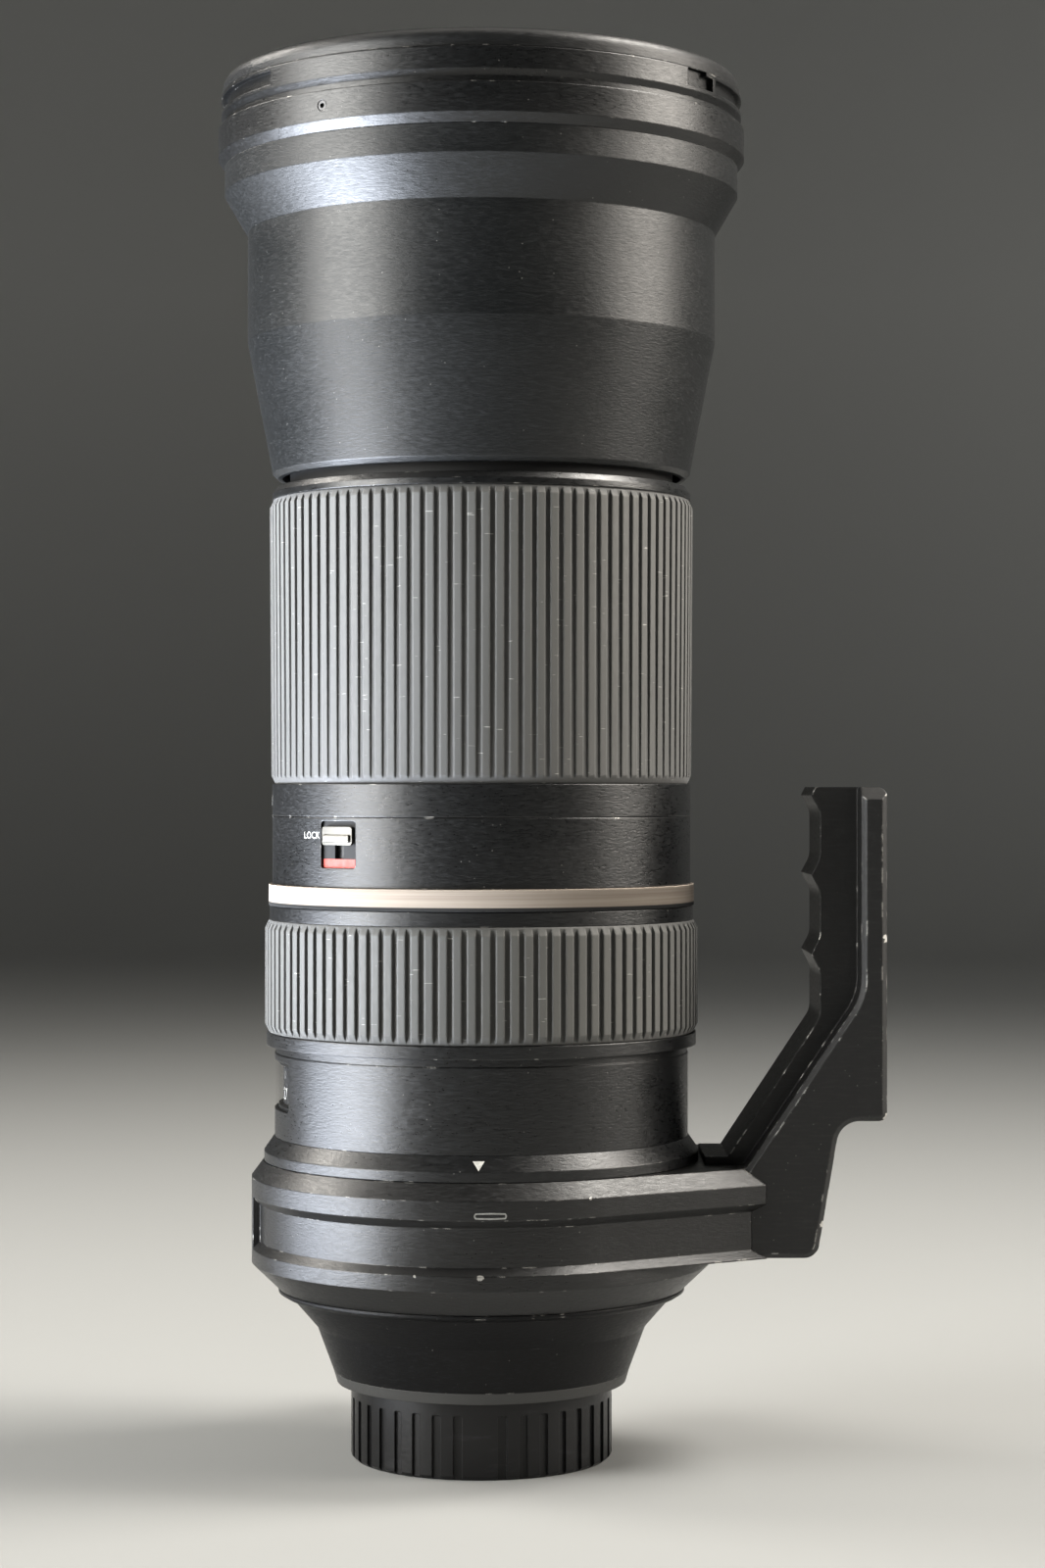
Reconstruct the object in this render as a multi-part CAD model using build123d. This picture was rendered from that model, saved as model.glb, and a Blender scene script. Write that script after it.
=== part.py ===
# Super-telephoto zoom lens with a rotating tripod collar, standing on its rear cap.
# Millimetres. The origin is on the optical axis at the rear cap's flat base, +Z points to the front
# of the lens and +X to the tripod foot. The zoom is at its short end.
import math
import os

from build123d import *

# Fits and cuts
overrun = 1.0               # how far a cutter passes the face it opens
seat_gap = 0.02             # between pieces of one body that sit in each other
run_gap = 0.05              # radial clearance of a running fit
slide_gap = 0.25            # between a slider and its plate
face_gap = 0.1              # between flat faces that turn or slide past each other
free_gap = 0.3              # between nested tubes that don't guide each other

# Radii of the nested tubes, from the outside in
barrel_radius = 41.7        # switch section, zoom ring's smooth band
focus_grip_wall = 0.8
focus_rib_depth = 0.65
focus_sleeve_wall = 1.2
main_wall = 0.8
cam_wall = 0.9
extension_wall = 1.0
guide_wall = 1.2
zoom_rib_proud = 0.5        # rib tops stand this far out of the smooth band
zoom_rib_depth = 0.6
zoom_grip_wall = 0.7
zoom_grip_taper = 0.35      # the grip is this much slimmer at its rear end

# Lengths of the outside, from the cap's base to the front rim
cap_height = 15.0
cap_gap = 0.2
seal_height = 2.2
tail_height = 8.1
tail_step = 0.8
cone_height = 6.4
retainer_height = 1.3
collar_bevel_low = 5.1
rim_low_height = 3.0
slope_low_height = 1.4
channel_height = 7.4
slope_high_height = 1.6
rim_high_height = 3.6
collar_bevel_high = 3.1
index_wall_height = 1.9
index_bevel_height = 2.9
rear_barrel_height = 16.5
groove_height = 1.6
stop_band_height = 2.5
focus_grip_height = 22.2
focus_lip_height = 2.8
name_ring_height = 4.2
switch_section_height = 13.4
zoom_band_height = 6.3
zoom_grip_height = 56.4
zoom_end_height = 2.4
front_gap = 1.9
front_taper_height = 26.9
front_cylinder_height = 21.5
front_flare_height = 7.7
front_bead_height = 5.4
hood_bevel_height = 1.8
hood_band_height = 5.6
hood_groove_height = 2.5
bayonet_band_height = 4.1
front_lip_height = 3.8

# Steps of the outside, each from the radius that it is named for
cap_radius = 26.0
seal_radius_low = 28.2
seal_lean = 1.3             # the seal's front end is this much wider
tail_swell = 3.0            # from the seal to the end of the tail
cone_ledge = 0.3            # from the tail to the cone
journal_drop = 1.8          # the tripod collar turns on this, inside the barrel's radius
retainer_rise = 0.6         # retainer out of the journal
retainer_seat = 1.5         # depth of the step that the retainer sits on, below the journal
rim_rise = 5.9              # the collar's rims out of the journal
shoulder_drop = 0.5
channel_depth = 1.5
collar_top_drop = 2.3
index_rise = 2.85           # index ring out of the main barrel
index_bevel = 2.0
rear_barrel_wall = 0.73
groove_depth = 0.2
stop_band_rise = 1.6        # out of the rear barrel
focus_lip_rise = 0.5        # these three stand out of the switch section
name_ring_rise = 0.7
front_tail_drop = 0.1       # front barrel's rear lip, inside the switch section's radius
filter_thread_radius = 47.5
front_tube_drop = 0.94      # front barrel's plain length, inside the filter thread's radius
front_bead_rise = 1.38      # these stand out of the front barrel's spigot
hood_band_rise = 2.68
hood_groove_rise = 1.48
bayonet_band_rise = 2.08
front_lip_wall = 4.0        # the front rim out of the filter thread
front_lip_round = 2.5

# Rear end
housing_wall = 2.2
housing_nose_wall = 3.8     # wall of the journal
throat_gap = 2.8            # the housing's rear opening is this much wider than the mount
mount_floor = 2.2           # thickness of the housing's rear wall
board_gap = 0.2
board_step = 2.0
board_height = 15.2         # above the housing's rear face
board_thickness = 1.6
housing_nose = 2.6          # how far the housing reaches into the index ring
mount_bore = 21.2
mount_wall = 1.1
mount_reach = 6.0           # throat behind the flange
lug_reach = 1.6             # lugs out of the throat
lug_thickness = 1.5
lug_offset = 0.3            # from the throat's end to its lugs
lug_count = 3
lug_angle = 56.0
cap_lug_angle = 50.0
cap_lug_gap = 0.6
cap_wall = 1.8
cap_floor = 2.0
cap_chamfer = 0.7
cap_rib_count = 38
cap_rib_width = 2.6
cap_rib_depth = 0.55
cap_rib_top = 2.6           # plain rim above the ribs
cap_rib_corner = 0.4
cap_index_width = 6.2
cap_index_direction = 270.0
mount_screw_count = 4
mount_screw_inset = 2.6     # screws from the mount's rim
mount_screw_head = 1.7
mount_screw_shank = 0.9
mount_screw_recess = 0.9
mount_screw_phase = 45.0
contact_count = 9
contact_radius = 0.55
contact_reach = 0.5
contact_span = 58.0
contact_wall = 2.8
contact_height = 10.0
contact_pin_length = 2.4
baffle_thickness = 1.2
baffle_margin = 9.0         # from the mount's bore to the ends of the baffle's opening
baffle_height = 20.0
baffle_corner = 3.0
rear_cell_radius = 21.0
board_clearance = 1.6       # from the rear cell to the circuit board
rear_cell_wall = 1.5
rear_cell_length = 36.0
rear_cell_flange = 2.6
rear_glass_drop = 12.0      # second rear glass below the cell's flange
lens_lip = 1.4              # how far a cell's lip covers its glass
lip_height = 1.2
glass_edge = 1.2            # thickness of a glass at its edge

# Tripod collar and foot
collar_side_angle = 59.0    # where the ring's sides leave the circle, from the foot's direction
foot_half_width = 20.0
foot_root_rise = 4.2        # the foot's root starts this far out of the rims
foot_block = 15.4           # root to heel
foot_slant = 4.5            # heel to neck
foot_shelf_depth = 9.1      # neck to the foot's face
foot_drop = 0.3             # the foot's underside below the top of the low rim
foot_block_height = 26.6    # underside to the shelf
foot_length = 64.9          # shelf to the foot's free end
foot_plate = 5.0            # thickness of the long plate
foot_arm_height = 33.4      # from the collar's top to where the arm meets the plate
foot_arm_foot = 1.6         # the arm starts this far out of the foot's root
foot_shelf_blend = 4.5
foot_heel_blend = 3.0
foot_bend_blend = 12.0
foot_edge = 1.0
foot_corner = 1.6
foot_top_bevel = 2.4
rib_half_width = 12.0
rib_thickness = 14.1        # from the foot's face to the scallops' cusps
rib_scallop_pitch = 15.6
rib_scallop_depth = 1.7
rib_scallop_ramp = 3.2
rib_scallop_blend = 4.5
rib_scallop_count = 3
rib_top_land = 1.6
rib_arm_back = 1.5          # the rib's arm meets its low block this far inside the foot's root
rib_block_back = 6.0        # the low block ends this far inside the foot's root
rib_block_height = 1.5
rib_edge = 0.8
foot_screw_spread = 24.0
foot_screw_rise = 8.6
foot_screw_low = 4.6        # from the foot's underside to the first screws
foot_screw_head = 3.5
foot_screw_head_height = 4.0
foot_screw_shank = 2.0
foot_screw_gap = 0.2
foot_screw_grip = 10.0      # foot between the screw's head and the collar
foot_screw_bite = 4.5       # thread in the collar
foot_screw_socket = 1.5
foot_screw_socket_depth = 2.0
small_thread = 3.175        # quarter inch tripod thread
large_thread = 4.76         # three eighths tripod thread
insert_wall = 1.9
insert_depth = 9.5
pad_angle = 20.0            # the channel stops short of the flush pad
pad_direction = 180.0       # opposite the foot
knob_radius = 8.0
knob_length = 11.0
knob_gap = 0.3
knob_flutes = 12
knob_flute_radius = 1.3
knob_shank = 2.4
knob_boss_radius = 9.4
knob_boss_rise = 1.2        # out of the rims
knob_shank_inset = 1.0
knob_edge = 1.0

# Distance scale and its window
window_height = 9.6
window_level = 5.6          # above the rear barrel's lower end
window_angle = 50.0
window_centre = 180.0       # the lens's top side
window_inset = 0.15
window_lip = 0.8
window_corner = 1.0
drum_wall = 0.6

# Focus drive
main_flange = 2.2
stator_height = 3.0
rotor_height = 2.0
focus_cam_wall = 1.0
focus_cam_gap = 0.8          # inside the main barrel, room for the scale drum
focus_cam_end = 8.2         # from the stop band's top to the cam's front end
focus_turn = 100.0
focus_travel = 6.0
focus_roller_rise = 6.6     # from the cam's rear end to the rollers
focus_key_drop = 3.0        # from the cam's front end to the keys
focus_key_radius = 1.8
focus_key_count = 2
roller_radius = 2.0
roller_inset = 0.2          # rollers stop short of a tube's outer skin
roller_count = 3
slot_gap = 0.25
roller_root = 1.2           # how deep a roller's pin sits in its cell

# Zoom drive
zoom_turn = 75.0
zoom_travel = 78.0
group_travel = 25.0
cam_space = 3.0             # from the focus cam's front end to the cam tube's rear end
extension_roller_rise = 5.5
group_phase = 60.0
focus_phase = 30.0
group_rear = 37.0           # from the cam tube's rear end to the zoom cell's rollers
zoom_key_radius = 1.6
zoom_key_rise = 7.0         # from the end of the zoom cell's slots to the screws
zoom_key_count = 3
cam_end = 10.0              # cam tube past its slots
cam_land = 7.8              # length of the bearing at the front of the main barrel

# Cells and glass
cell_wall = 1.6
cell_web = 2.2
focus_cell_length = 13.0
focus_glass = 17.0
zoom_cell_length = 13.0
zoom_glass = 22.0
stabiliser_gap = 9.0        # from the focus cell's front limit to the base plate
stabiliser_plate = 3.0
stabiliser_frame_height = 5.0
stabiliser_glass = 16.0
stabiliser_play = 1.3       # room round the floating frame
stabiliser_opening = 20.0
iris_height = 4.0
iris_opening = 18.0
iris_wall = 1.0
iris_blade_count = 9
iris_blade_gap = 1.0
iris_blade_thickness = 0.12
iris_blade_angle = 70.0
front_glass_drop = 1.9      # inside the filter thread's radius
front_glass_edge = 3.0
front_glass_seat = 9.0      # from the bezel back to the shoulder behind the front glass
front_wall = 1.3
front_spigot_wall = 1.1
filter_spigot = 5.6
filter_wall = 1.1
bezel_height = 1.6
bezel_lip = 1.0             # how far the bezel covers the front glass
front_cell_length = 17.0
extension_flange = 2.0
extension_flange_level = 14.0    # above the front barrel's rear lip
hood_screw_radius = 0.95
hood_screw_count = 3
hood_screw_socket = 0.45
hood_screw_socket_depth = 0.7
hood_screw_phase = -124.0
hood_screw_sunk = 0.12
bayonet_slot_height = 2.6
bayonet_slot_depth = 1.2
bayonet_slot_angle = 80.0
bayonet_entry_angle = 7.0
bayonet_post_angle = 1.2

# Grips
rib_count = 100
rib_share = 0.62            # width of a rib's top as a share of its pitch
grip_end_round = 1.6       # rounding of a grip's ends

# Glass faces, as shares of a glass's radius
bulge_share = 0.11
hollow_share = 0.05

# Switch panel and zoom lock
panel_centre = 90.0         # left of the lens in use
knob_direction = 90.0       # the collar's clamp knob
panel_angle = 56.0
panel_height = 10.4
panel_proud = 0.25
panel_corner = 1.2
pocket_depth = 0.95
switch_count = 3
switch_pitch_angle = 17.5
knob_width = 4.4
knob_height = 3.4
knob_travel = 3.0
knob_proud = 0.9
knob_recess_gap = 0.5
stem_width = 1.6
stem_height = 1.4
stem_gap = 0.35
stem_depth = 0.4            # stems reach this far below their plate
lock_centre = -130.5        # between the near side and the top side
lock_plate_width = 9.0
lock_plate_height = 9.0
lock_plate_inset = 0.7      # from the top of the switch section to the plate
lock_plate_wall = 0.35      # plate under the sliders
lock_width = 7.8
lock_height = 3.5
lock_travel = 3.4
lock_proud = 0.3
lock_corner = 0.6

# Levels of the outside
flange_level = cap_height + cap_gap
throat_base = flange_level - mount_reach
lug_base = throat_base + lug_offset
seal_top = flange_level + seal_height
housing_floor = seal_top + mount_floor
contact_base = housing_floor - contact_height
board_level = seal_top + board_height
tail_top = seal_top + tail_height
cone_base = tail_top + tail_step
cone_top = cone_base + cone_height
retainer_top = cone_top + retainer_height
collar_base = retainer_top + face_gap
shoulder_level = collar_base + collar_bevel_low
rim_low_top = shoulder_level + rim_low_height
channel_base = rim_low_top + slope_low_height
channel_top = channel_base + channel_height
rim_high_base = channel_top + slope_high_height
rim_high_top = rim_high_base + rim_high_height
collar_top = rim_high_top + collar_bevel_high
index_base = collar_top + face_gap
index_shoulder = index_base + index_wall_height
index_top = index_shoulder + index_bevel_height
rear_barrel_top = index_top + rear_barrel_height
stop_band_base = rear_barrel_top + groove_height
stop_band_top = stop_band_base + stop_band_height
focus_base = stop_band_top + face_gap
focus_grip_top = focus_base + focus_grip_height
focus_top = focus_grip_top + focus_lip_height
name_base = focus_top + face_gap
name_top = name_base + name_ring_height
section_top = name_top + switch_section_height
zoom_base = section_top + face_gap
zoom_band_top = zoom_base + zoom_band_height
zoom_grip_top = zoom_band_top + zoom_grip_height
zoom_top = zoom_grip_top + zoom_end_height
front_base = zoom_top + front_gap
front_lip_top = front_base + front_gap / 2
front_taper_top = front_base + front_taper_height
front_cylinder_top = front_taper_top + front_cylinder_height
front_flare_top = front_cylinder_top + front_flare_height
hood_base = front_flare_top + front_bead_height
hood_band_base = hood_base + hood_bevel_height
hood_band_top = hood_band_base + hood_band_height
hood_screw_level = (hood_band_base + hood_band_top) / 2
bayonet_base = hood_band_top + hood_groove_height
bayonet_top = bayonet_base + bayonet_band_height
front_lip_base = bayonet_top + face_gap
front_top = front_lip_base + front_lip_height

# Radii of the nested tubes
focus_sleeve_bore = barrel_radius - focus_sleeve_wall
main_radius = focus_sleeve_bore - run_gap
main_bore = main_radius - main_wall
cam_radius = main_bore - free_gap
cam_bore = cam_radius - cam_wall
extension_radius = cam_bore - free_gap
extension_bore = extension_radius - extension_wall
guide_radius = extension_bore - free_gap
guide_bore = guide_radius - guide_wall
cell_radius = guide_bore - free_gap
fixed_cell_radius = guide_bore - seat_gap
focus_grip_radius = barrel_radius + focus_grip_wall + focus_rib_depth
zoom_grip_radius = barrel_radius + zoom_rib_proud
zoom_sleeve_radius = zoom_grip_radius - zoom_rib_depth - zoom_grip_wall
zoom_sleeve_bore = cam_radius + seat_gap
shell_bore = main_radius + seat_gap
focus_cam_radius = main_bore - focus_cam_gap
focus_cam_bore = focus_cam_radius - focus_cam_wall
slot_half = roller_radius + slot_gap

# Radii of the outside
seal_radius_high = seal_radius_low + seal_lean
tail_radius = seal_radius_high + tail_swell
cone_radius_low = tail_radius + cone_ledge
journal_radius = barrel_radius - journal_drop
cone_radius_high = journal_radius - retainer_seat
retainer_radius = journal_radius + retainer_rise
collar_bore = journal_radius + run_gap
rim_radius = journal_radius + rim_rise
collar_shoulder = rim_radius - shoulder_drop
channel_radius = rim_radius - channel_depth
collar_top_radius = rim_radius - collar_top_drop
index_radius = main_radius + index_rise
index_top_radius = index_radius - index_bevel
rear_barrel_radius = shell_bore + rear_barrel_wall
groove_radius = rear_barrel_radius - groove_depth
stop_band_radius = rear_barrel_radius + stop_band_rise
focus_lip_radius = barrel_radius + focus_lip_rise
name_ring_radius = barrel_radius + name_ring_rise
spigot_bore = filter_thread_radius + filter_wall + seat_gap
spigot_radius = spigot_bore + front_spigot_wall
front_tail_radius = barrel_radius - front_tail_drop
front_tube_radius = filter_thread_radius - front_tube_drop
front_bead_radius = spigot_radius + front_bead_rise
hood_band_radius = spigot_radius + hood_band_rise
hood_groove_radius = spigot_radius + hood_groove_rise
bayonet_band_radius = spigot_radius + bayonet_band_rise
front_lip_radius = filter_thread_radius + front_lip_wall
front_rim_radius = front_lip_radius - front_lip_round

# Radii of the rear end and of the foot, from the optical axis
housing_bore = journal_radius - housing_nose_wall
board_radius = housing_bore - board_gap
throat_radius = mount_bore + throat_gap
mount_throat = mount_bore + mount_wall
lug_radius = mount_throat + lug_reach
cap_bore = cap_radius - cap_wall
mount_screw_circle = seal_radius_low - mount_screw_inset
foot_root = rim_radius + foot_root_rise
foot_heel = foot_root + foot_block
foot_neck = foot_heel + foot_slant
foot_reach = foot_neck + foot_shelf_depth
foot_inner = foot_reach - foot_plate
rib_inner = foot_reach - rib_thickness
foot_screw_seat = foot_root + foot_screw_grip
foot_screw_tip = foot_root - foot_screw_bite
knob_boss_reach = rim_radius + knob_boss_rise
front_glass = filter_thread_radius - front_glass_drop

# Levels of the inside
housing_top = index_base + housing_nose
flange_top = housing_top + main_flange
stator_top = flange_top + stator_height
rotor_base = stator_top + face_gap
focus_cam_base = rotor_base + rotor_height
focus_cam_top = stop_band_top + focus_cam_end
focus_roller_level = focus_cam_base + focus_roller_rise
focus_key_level = focus_cam_top - focus_key_drop
focus_cell_base = focus_roller_level - focus_cell_length / 2
focus_cell_top = focus_cell_base + focus_cell_length
cam_base = focus_cam_top + cam_space
extension_roller_level = cam_base + extension_roller_rise
cam_top = extension_roller_level + zoom_travel + cam_end
group_roller_level = cam_base + group_rear
zoom_cell_base = group_roller_level - zoom_cell_length / 2
zoom_key_level = group_roller_level + group_travel + zoom_key_rise
guide_top = extension_roller_level + zoom_travel + extension_roller_rise
stabiliser_base_level = focus_cell_top + focus_travel + stabiliser_gap
stabiliser_frame_level = stabiliser_base_level + stabiliser_plate + free_gap
stabiliser_top = stabiliser_frame_level + stabiliser_frame_height
iris_base_level = stabiliser_top + free_gap
iris_top = iris_base_level + iris_height
window_base = index_top + window_level
window_top = window_base + window_height
panel_level = (name_top + section_top) / 2
switch_level = panel_level + knob_travel / 2
lock_plate_level = section_top - lock_plate_inset - lock_plate_height / 2
lock_level = lock_plate_level + lock_travel / 2
panel_floor = barrel_radius - pocket_depth
recess_floor = panel_floor + lock_plate_wall
extension_top = front_base + extension_flange_level
filter_spigot_base = front_lip_base - filter_spigot
front_seat = filter_spigot_base - bezel_height
front_shoulder = front_seat - front_glass_seat
foot_bottom = rim_low_top - foot_drop
foot_shelf = foot_bottom + foot_block_height
foot_top = foot_shelf + foot_length
foot_bend = collar_top + foot_arm_height
scallop_start = foot_top - rib_top_land
knob_level = (channel_base + channel_top) / 2


def tube(outer, inner, low, high):
    """Plain tube about the optical axis."""
    return Pos(0, 0, low) * extrude(Circle(outer) - Circle(inner), high - low)


def disc(radius, low, high):
    """Plain disc about the optical axis."""
    return Pos(0, 0, low) * extrude(Circle(radius), high - low)


def turned(*outline):
    """Solid turned about the optical axis from a closed (radius, level) outline."""
    return revolve(Plane.XZ * make_face(Polyline(*outline, close=True)), Axis.Z)


def around(solid, count, phase=0):
    """Copies of a solid evenly spaced about the optical axis."""
    return [Rot(0, 0, phase + 360 * n / count) * solid for n in range(count)]


def sector(outer, inner, low, high, centre, width):
    """Part of a tube, width degrees wide, about the direction centre."""
    middle = Pos((outer + inner) / 2, (low + high) / 2)
    section = Plane.XZ * middle * Rectangle(outer - inner, high - low)
    return Rot(0, 0, centre - width / 2) * revolve(section, Axis.Z, revolution_arc=width)


def radial_pin(radius, start, end, direction, level):
    """Round pin that points away from the optical axis."""
    pin = Rot(0, 90, 0) * extrude(Circle(radius), end - start)
    return Rot(0, 0, direction) * Pos(start, 0, level) * pin


def radial_plate(width, height, corner, start, end, direction, level):
    """Rounded rectangle pushed out from the optical axis between two radii."""
    face = Plane.YZ * RectangleRounded(width, height, corner)
    return Rot(0, 0, direction) * Pos(start, 0, level) * extrude(face, end - start)


def straight_slot(half, start, end, direction, low, high):
    """Cutter for a slot along the optical axis whose round ends are centred on low and high."""
    face = Plane.YZ * Rot(0, 0, 90) * SlotCenterToCenter(high - low, 2 * half)
    return Rot(0, 0, direction) * Pos(start, 0, (low + high) / 2) * extrude(face, end - start)


def turning_slot(half, start, end, direction, turn, level):
    """Cutter for a slot round the optical axis, from direction over turn degrees."""
    middle = sector(end, start, level - half, level + half, direction + turn / 2, turn)
    first = radial_pin(half, start, end, direction, level)
    last = radial_pin(half, start, end, direction + turn, level)
    return middle + first + last


def helical_slot(half, start, end, direction, turn, low, travel):
    """Cutter for a slot that climbs by travel while it runs backwards over turn degrees."""
    path = Helix(travel * 360 / turn, travel, (start + end) / 2, lefthand=True)
    profile = Plane(path @ 0, x_dir=(1, 0, 0), z_dir=path % 0) * Rectangle(end - start, 2 * half)
    middle = Rot(0, 0, direction) * Pos(0, 0, low) * sweep(profile, path, is_frenet=True)
    first = radial_pin(half, start, end, direction, low)
    last = radial_pin(half, start, end, direction - turn, low + travel)
    return middle + first + last


def curved_patch(outer, inner, width, height, corner, direction, level):
    """Piece of a tube wall with a rounded rectangular outline."""
    block = radial_plate(width, height, corner, inner / 2, outer + overrun, direction, level)
    return block & tube(outer, inner, level - height, level + height)


def chord(radius, angle):
    """Straight width of an angle at a radius."""
    return 2 * radius * math.sin(math.radians(angle / 2))


def dome(radius, bulge, at):
    """Height of a glass face over its edge, at a distance from the axis."""
    ball = (radius ** 2 + bulge ** 2) / (2 * bulge)
    return bulge - ball + math.copysign(math.sqrt(ball ** 2 - at ** 2), bulge)


def lens(radius, edge, front_share, rear_share, level):
    """Glass element on level: its faces bulge by shares of its radius, negative where hollow."""
    front = radius * front_share
    rear = radius * rear_share
    half = radius / 2
    back = ThreePointArc((0, -rear), (half, -dome(radius, rear, half)), (radius, 0))
    side = Line((radius, 0), (radius, edge))
    face = ThreePointArc((radius, edge), (half, edge + dome(radius, front, half)), (0, edge + front))
    axis = Line((0, edge + front), (0, -rear))
    return Pos(0, 0, level) * revolve(Plane.XZ * make_face([back, side, face, axis]), Axis.Z)


def cell(outer, glass, low, length, web_level):
    """Lens cell: outer tube, web, and inner tube with a lip behind the glass."""
    bore = glass + seat_gap
    shell = tube(outer, outer - cell_wall, low, low + length)
    web = tube(outer - cell_wall, bore + cell_wall, web_level - cell_web / 2, web_level + cell_web / 2)
    seat = tube(bore + cell_wall, bore, low, low + length)
    lip = tube(bore + cell_wall, glass - lens_lip, low, low + lip_height)
    return shell + web + seat + lip


def grip(radius, low, high, depth, wall, taper):
    """Rubber grip with ribs along the axis and rounded ends, slimmer at its rear end."""
    pitch = 2 * math.pi * radius / rib_count
    bore = radius - depth - wall
    valley = Rectangle(2 * depth, pitch * (1 - rib_share))
    section = Circle(radius) - Circle(bore)
    section -= [place * valley for place in PolarLocations(radius, rib_count)]
    ribs = Pos(0, 0, low) * extrude(section, high - low)
    end = grip_end_round / 2
    return ribs & turned(
        (bore, low), (radius - taper - end, low), (radius - taper, low + grip_end_round),
        (radius, high - grip_end_round), (radius - end, high), (bore, high),
    )


def lugs(outer, inner, low, width):
    """Bayonet lugs evenly spaced about the optical axis."""
    return around(sector(outer, inner, low, low + lug_thickness, 0, width), lug_count)


def make_rear_cap():
    """Cap with finger ribs, an index land towards the near side, and lugs inside."""
    body = turned(
        (0, 0), (cap_radius - cap_chamfer, 0), (cap_radius, cap_chamfer), (cap_radius, cap_height),
        (cap_bore, cap_height), (cap_bore, cap_floor), (0, cap_floor),
    )
    pitch = 360 / cap_rib_count
    valley_width = 2 * math.pi * cap_radius / cap_rib_count - cap_rib_width
    valley = radial_plate(
        valley_width, cap_height - cap_rib_top + cap_floor, cap_rib_corner,
        cap_radius - cap_rib_depth, cap_radius + overrun, 0, (cap_height - cap_rib_top - cap_floor) / 2,
    )
    index_half = math.degrees(cap_index_width / cap_radius) / 2
    for n in range(cap_rib_count):
        direction = pitch * (n + 0.5)
        if abs(direction - cap_index_direction) > index_half:
            body -= Rot(0, 0, direction) * valley
    lug_low = lug_base + lug_thickness + cap_lug_gap
    return body + lugs(cap_bore + seat_gap, mount_throat + free_gap, lug_low, cap_lug_angle)


def mount_screw_holes(low, high):
    """Clearance holes for the mount's screws."""
    hole = Pos(mount_screw_circle, 0, low) * extrude(Circle(mount_screw_shank + seat_gap), high - low)
    return around(hole, mount_screw_count, mount_screw_phase)


def make_lens_mount():
    plate = tube(seal_radius_low - seat_gap, mount_bore, flange_level, seal_top)
    throat = tube(mount_throat, mount_bore, throat_base, flange_level)
    body = plate + throat + lugs(lug_radius, mount_throat - seat_gap, lug_base, lug_angle)
    recess = Pos(mount_screw_circle, 0, flange_level - overrun) * extrude(
        Circle(mount_screw_head + seat_gap), mount_screw_recess + overrun)
    body -= around(recess, mount_screw_count, mount_screw_phase)
    return body - mount_screw_holes(flange_level - overrun, seal_top + overrun)


def make_mount_screws():
    """Cross-head screws, flush with the flange."""
    head = extrude(Circle(mount_screw_head), mount_screw_recess)
    shank = extrude(Circle(mount_screw_shank), seal_height + mount_floor - face_gap)
    bar = mount_screw_shank / 2
    cross = Rectangle(2 * mount_screw_shank, bar) + Rectangle(bar, 2 * mount_screw_shank)
    screw = head + shank - extrude(cross, mount_screw_recess / 2)
    return around(Pos(mount_screw_circle, 0, flange_level) * screw, mount_screw_count, mount_screw_phase)


def make_mount_seal():
    """Grey ring between the flange and the tail."""
    middle = (seal_radius_low + seal_radius_high) / 2
    return turned(
        (seal_radius_low, flange_level), (middle, flange_level), (seal_radius_high, seal_top),
        (seal_radius_low, seal_top),
    )


def make_contact_block():
    outer = mount_bore - seat_gap
    block = sector(outer, outer - contact_wall, contact_base, housing_floor, 0, contact_span)
    return block - contact_pin_set(seat_gap)


def contact_pin_set(gap):
    """Contact pins, or the holes for them where there is a gap."""
    step = contact_span / contact_count
    pin = Pos(mount_bore - contact_wall / 2, 0, contact_base - contact_reach) * extrude(
        Circle(contact_radius + gap), contact_pin_length + gap)
    return [Rot(0, 0, step * (n - (contact_count - 1) / 2)) * pin for n in range(contact_count)]


def make_contact_pins():
    return contact_pin_set(0)


def make_rear_baffle():
    """Light baffle over the mount's opening."""
    plate = disc(throat_radius + mount_floor, housing_floor, housing_floor + baffle_thickness)
    opening = RectangleRounded(2 * (mount_bore - baffle_margin / 2), baffle_height, baffle_corner)
    return plate - Pos(0, 0, housing_floor - overrun) * extrude(opening, baffle_thickness + 2 * overrun)


def make_rear_housing():
    """Tail, cone and journal of the lens, one turned part."""
    lean = (cone_radius_high - cone_radius_low) / cone_height
    below_board = board_level - board_step
    inner_cone = cone_radius_low + lean * (below_board - cone_base) - housing_wall
    shell = turned(
        (throat_radius, seal_top), (seal_radius_high, seal_top), (tail_radius, tail_top),
        (cone_radius_low, cone_base), (cone_radius_high, cone_top), (cone_radius_high, retainer_top),
        (journal_radius, retainer_top), (journal_radius, housing_top), (housing_bore, housing_top),
        (housing_bore, board_level), (board_radius - board_step, board_level),
        (inner_cone - board_step, below_board), (tail_radius - housing_wall, tail_top),
        (seal_radius_high - housing_wall, housing_floor), (throat_radius, housing_floor),
    )
    return shell - mount_screw_holes(seal_top - overrun, housing_floor + overrun)


def make_circuit_board():
    return tube(
        board_radius, rear_cell_radius + board_clearance, board_level, board_level + board_thickness)


def make_rear_cell():
    """Fixed rear cell, held by its flange inside the housing."""
    low = housing_top - rear_cell_length
    inner = rear_cell_radius - rear_cell_wall
    flange = tube(housing_bore - seat_gap, inner, housing_top - rear_cell_flange, housing_top)
    lip = tube(rear_cell_radius, inner - lens_lip, low, low + lip_height)
    return flange + lip + tube(rear_cell_radius, inner, low, housing_top)


def make_rear_elements():
    radius = rear_cell_radius - rear_cell_wall - seat_gap
    low = housing_top - rear_cell_length + lip_height
    return [
        lens(radius, glass_edge, bulge_share, -hollow_share, low),
        lens(radius, glass_edge, -hollow_share, bulge_share, housing_top - rear_glass_drop),
    ]


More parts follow.
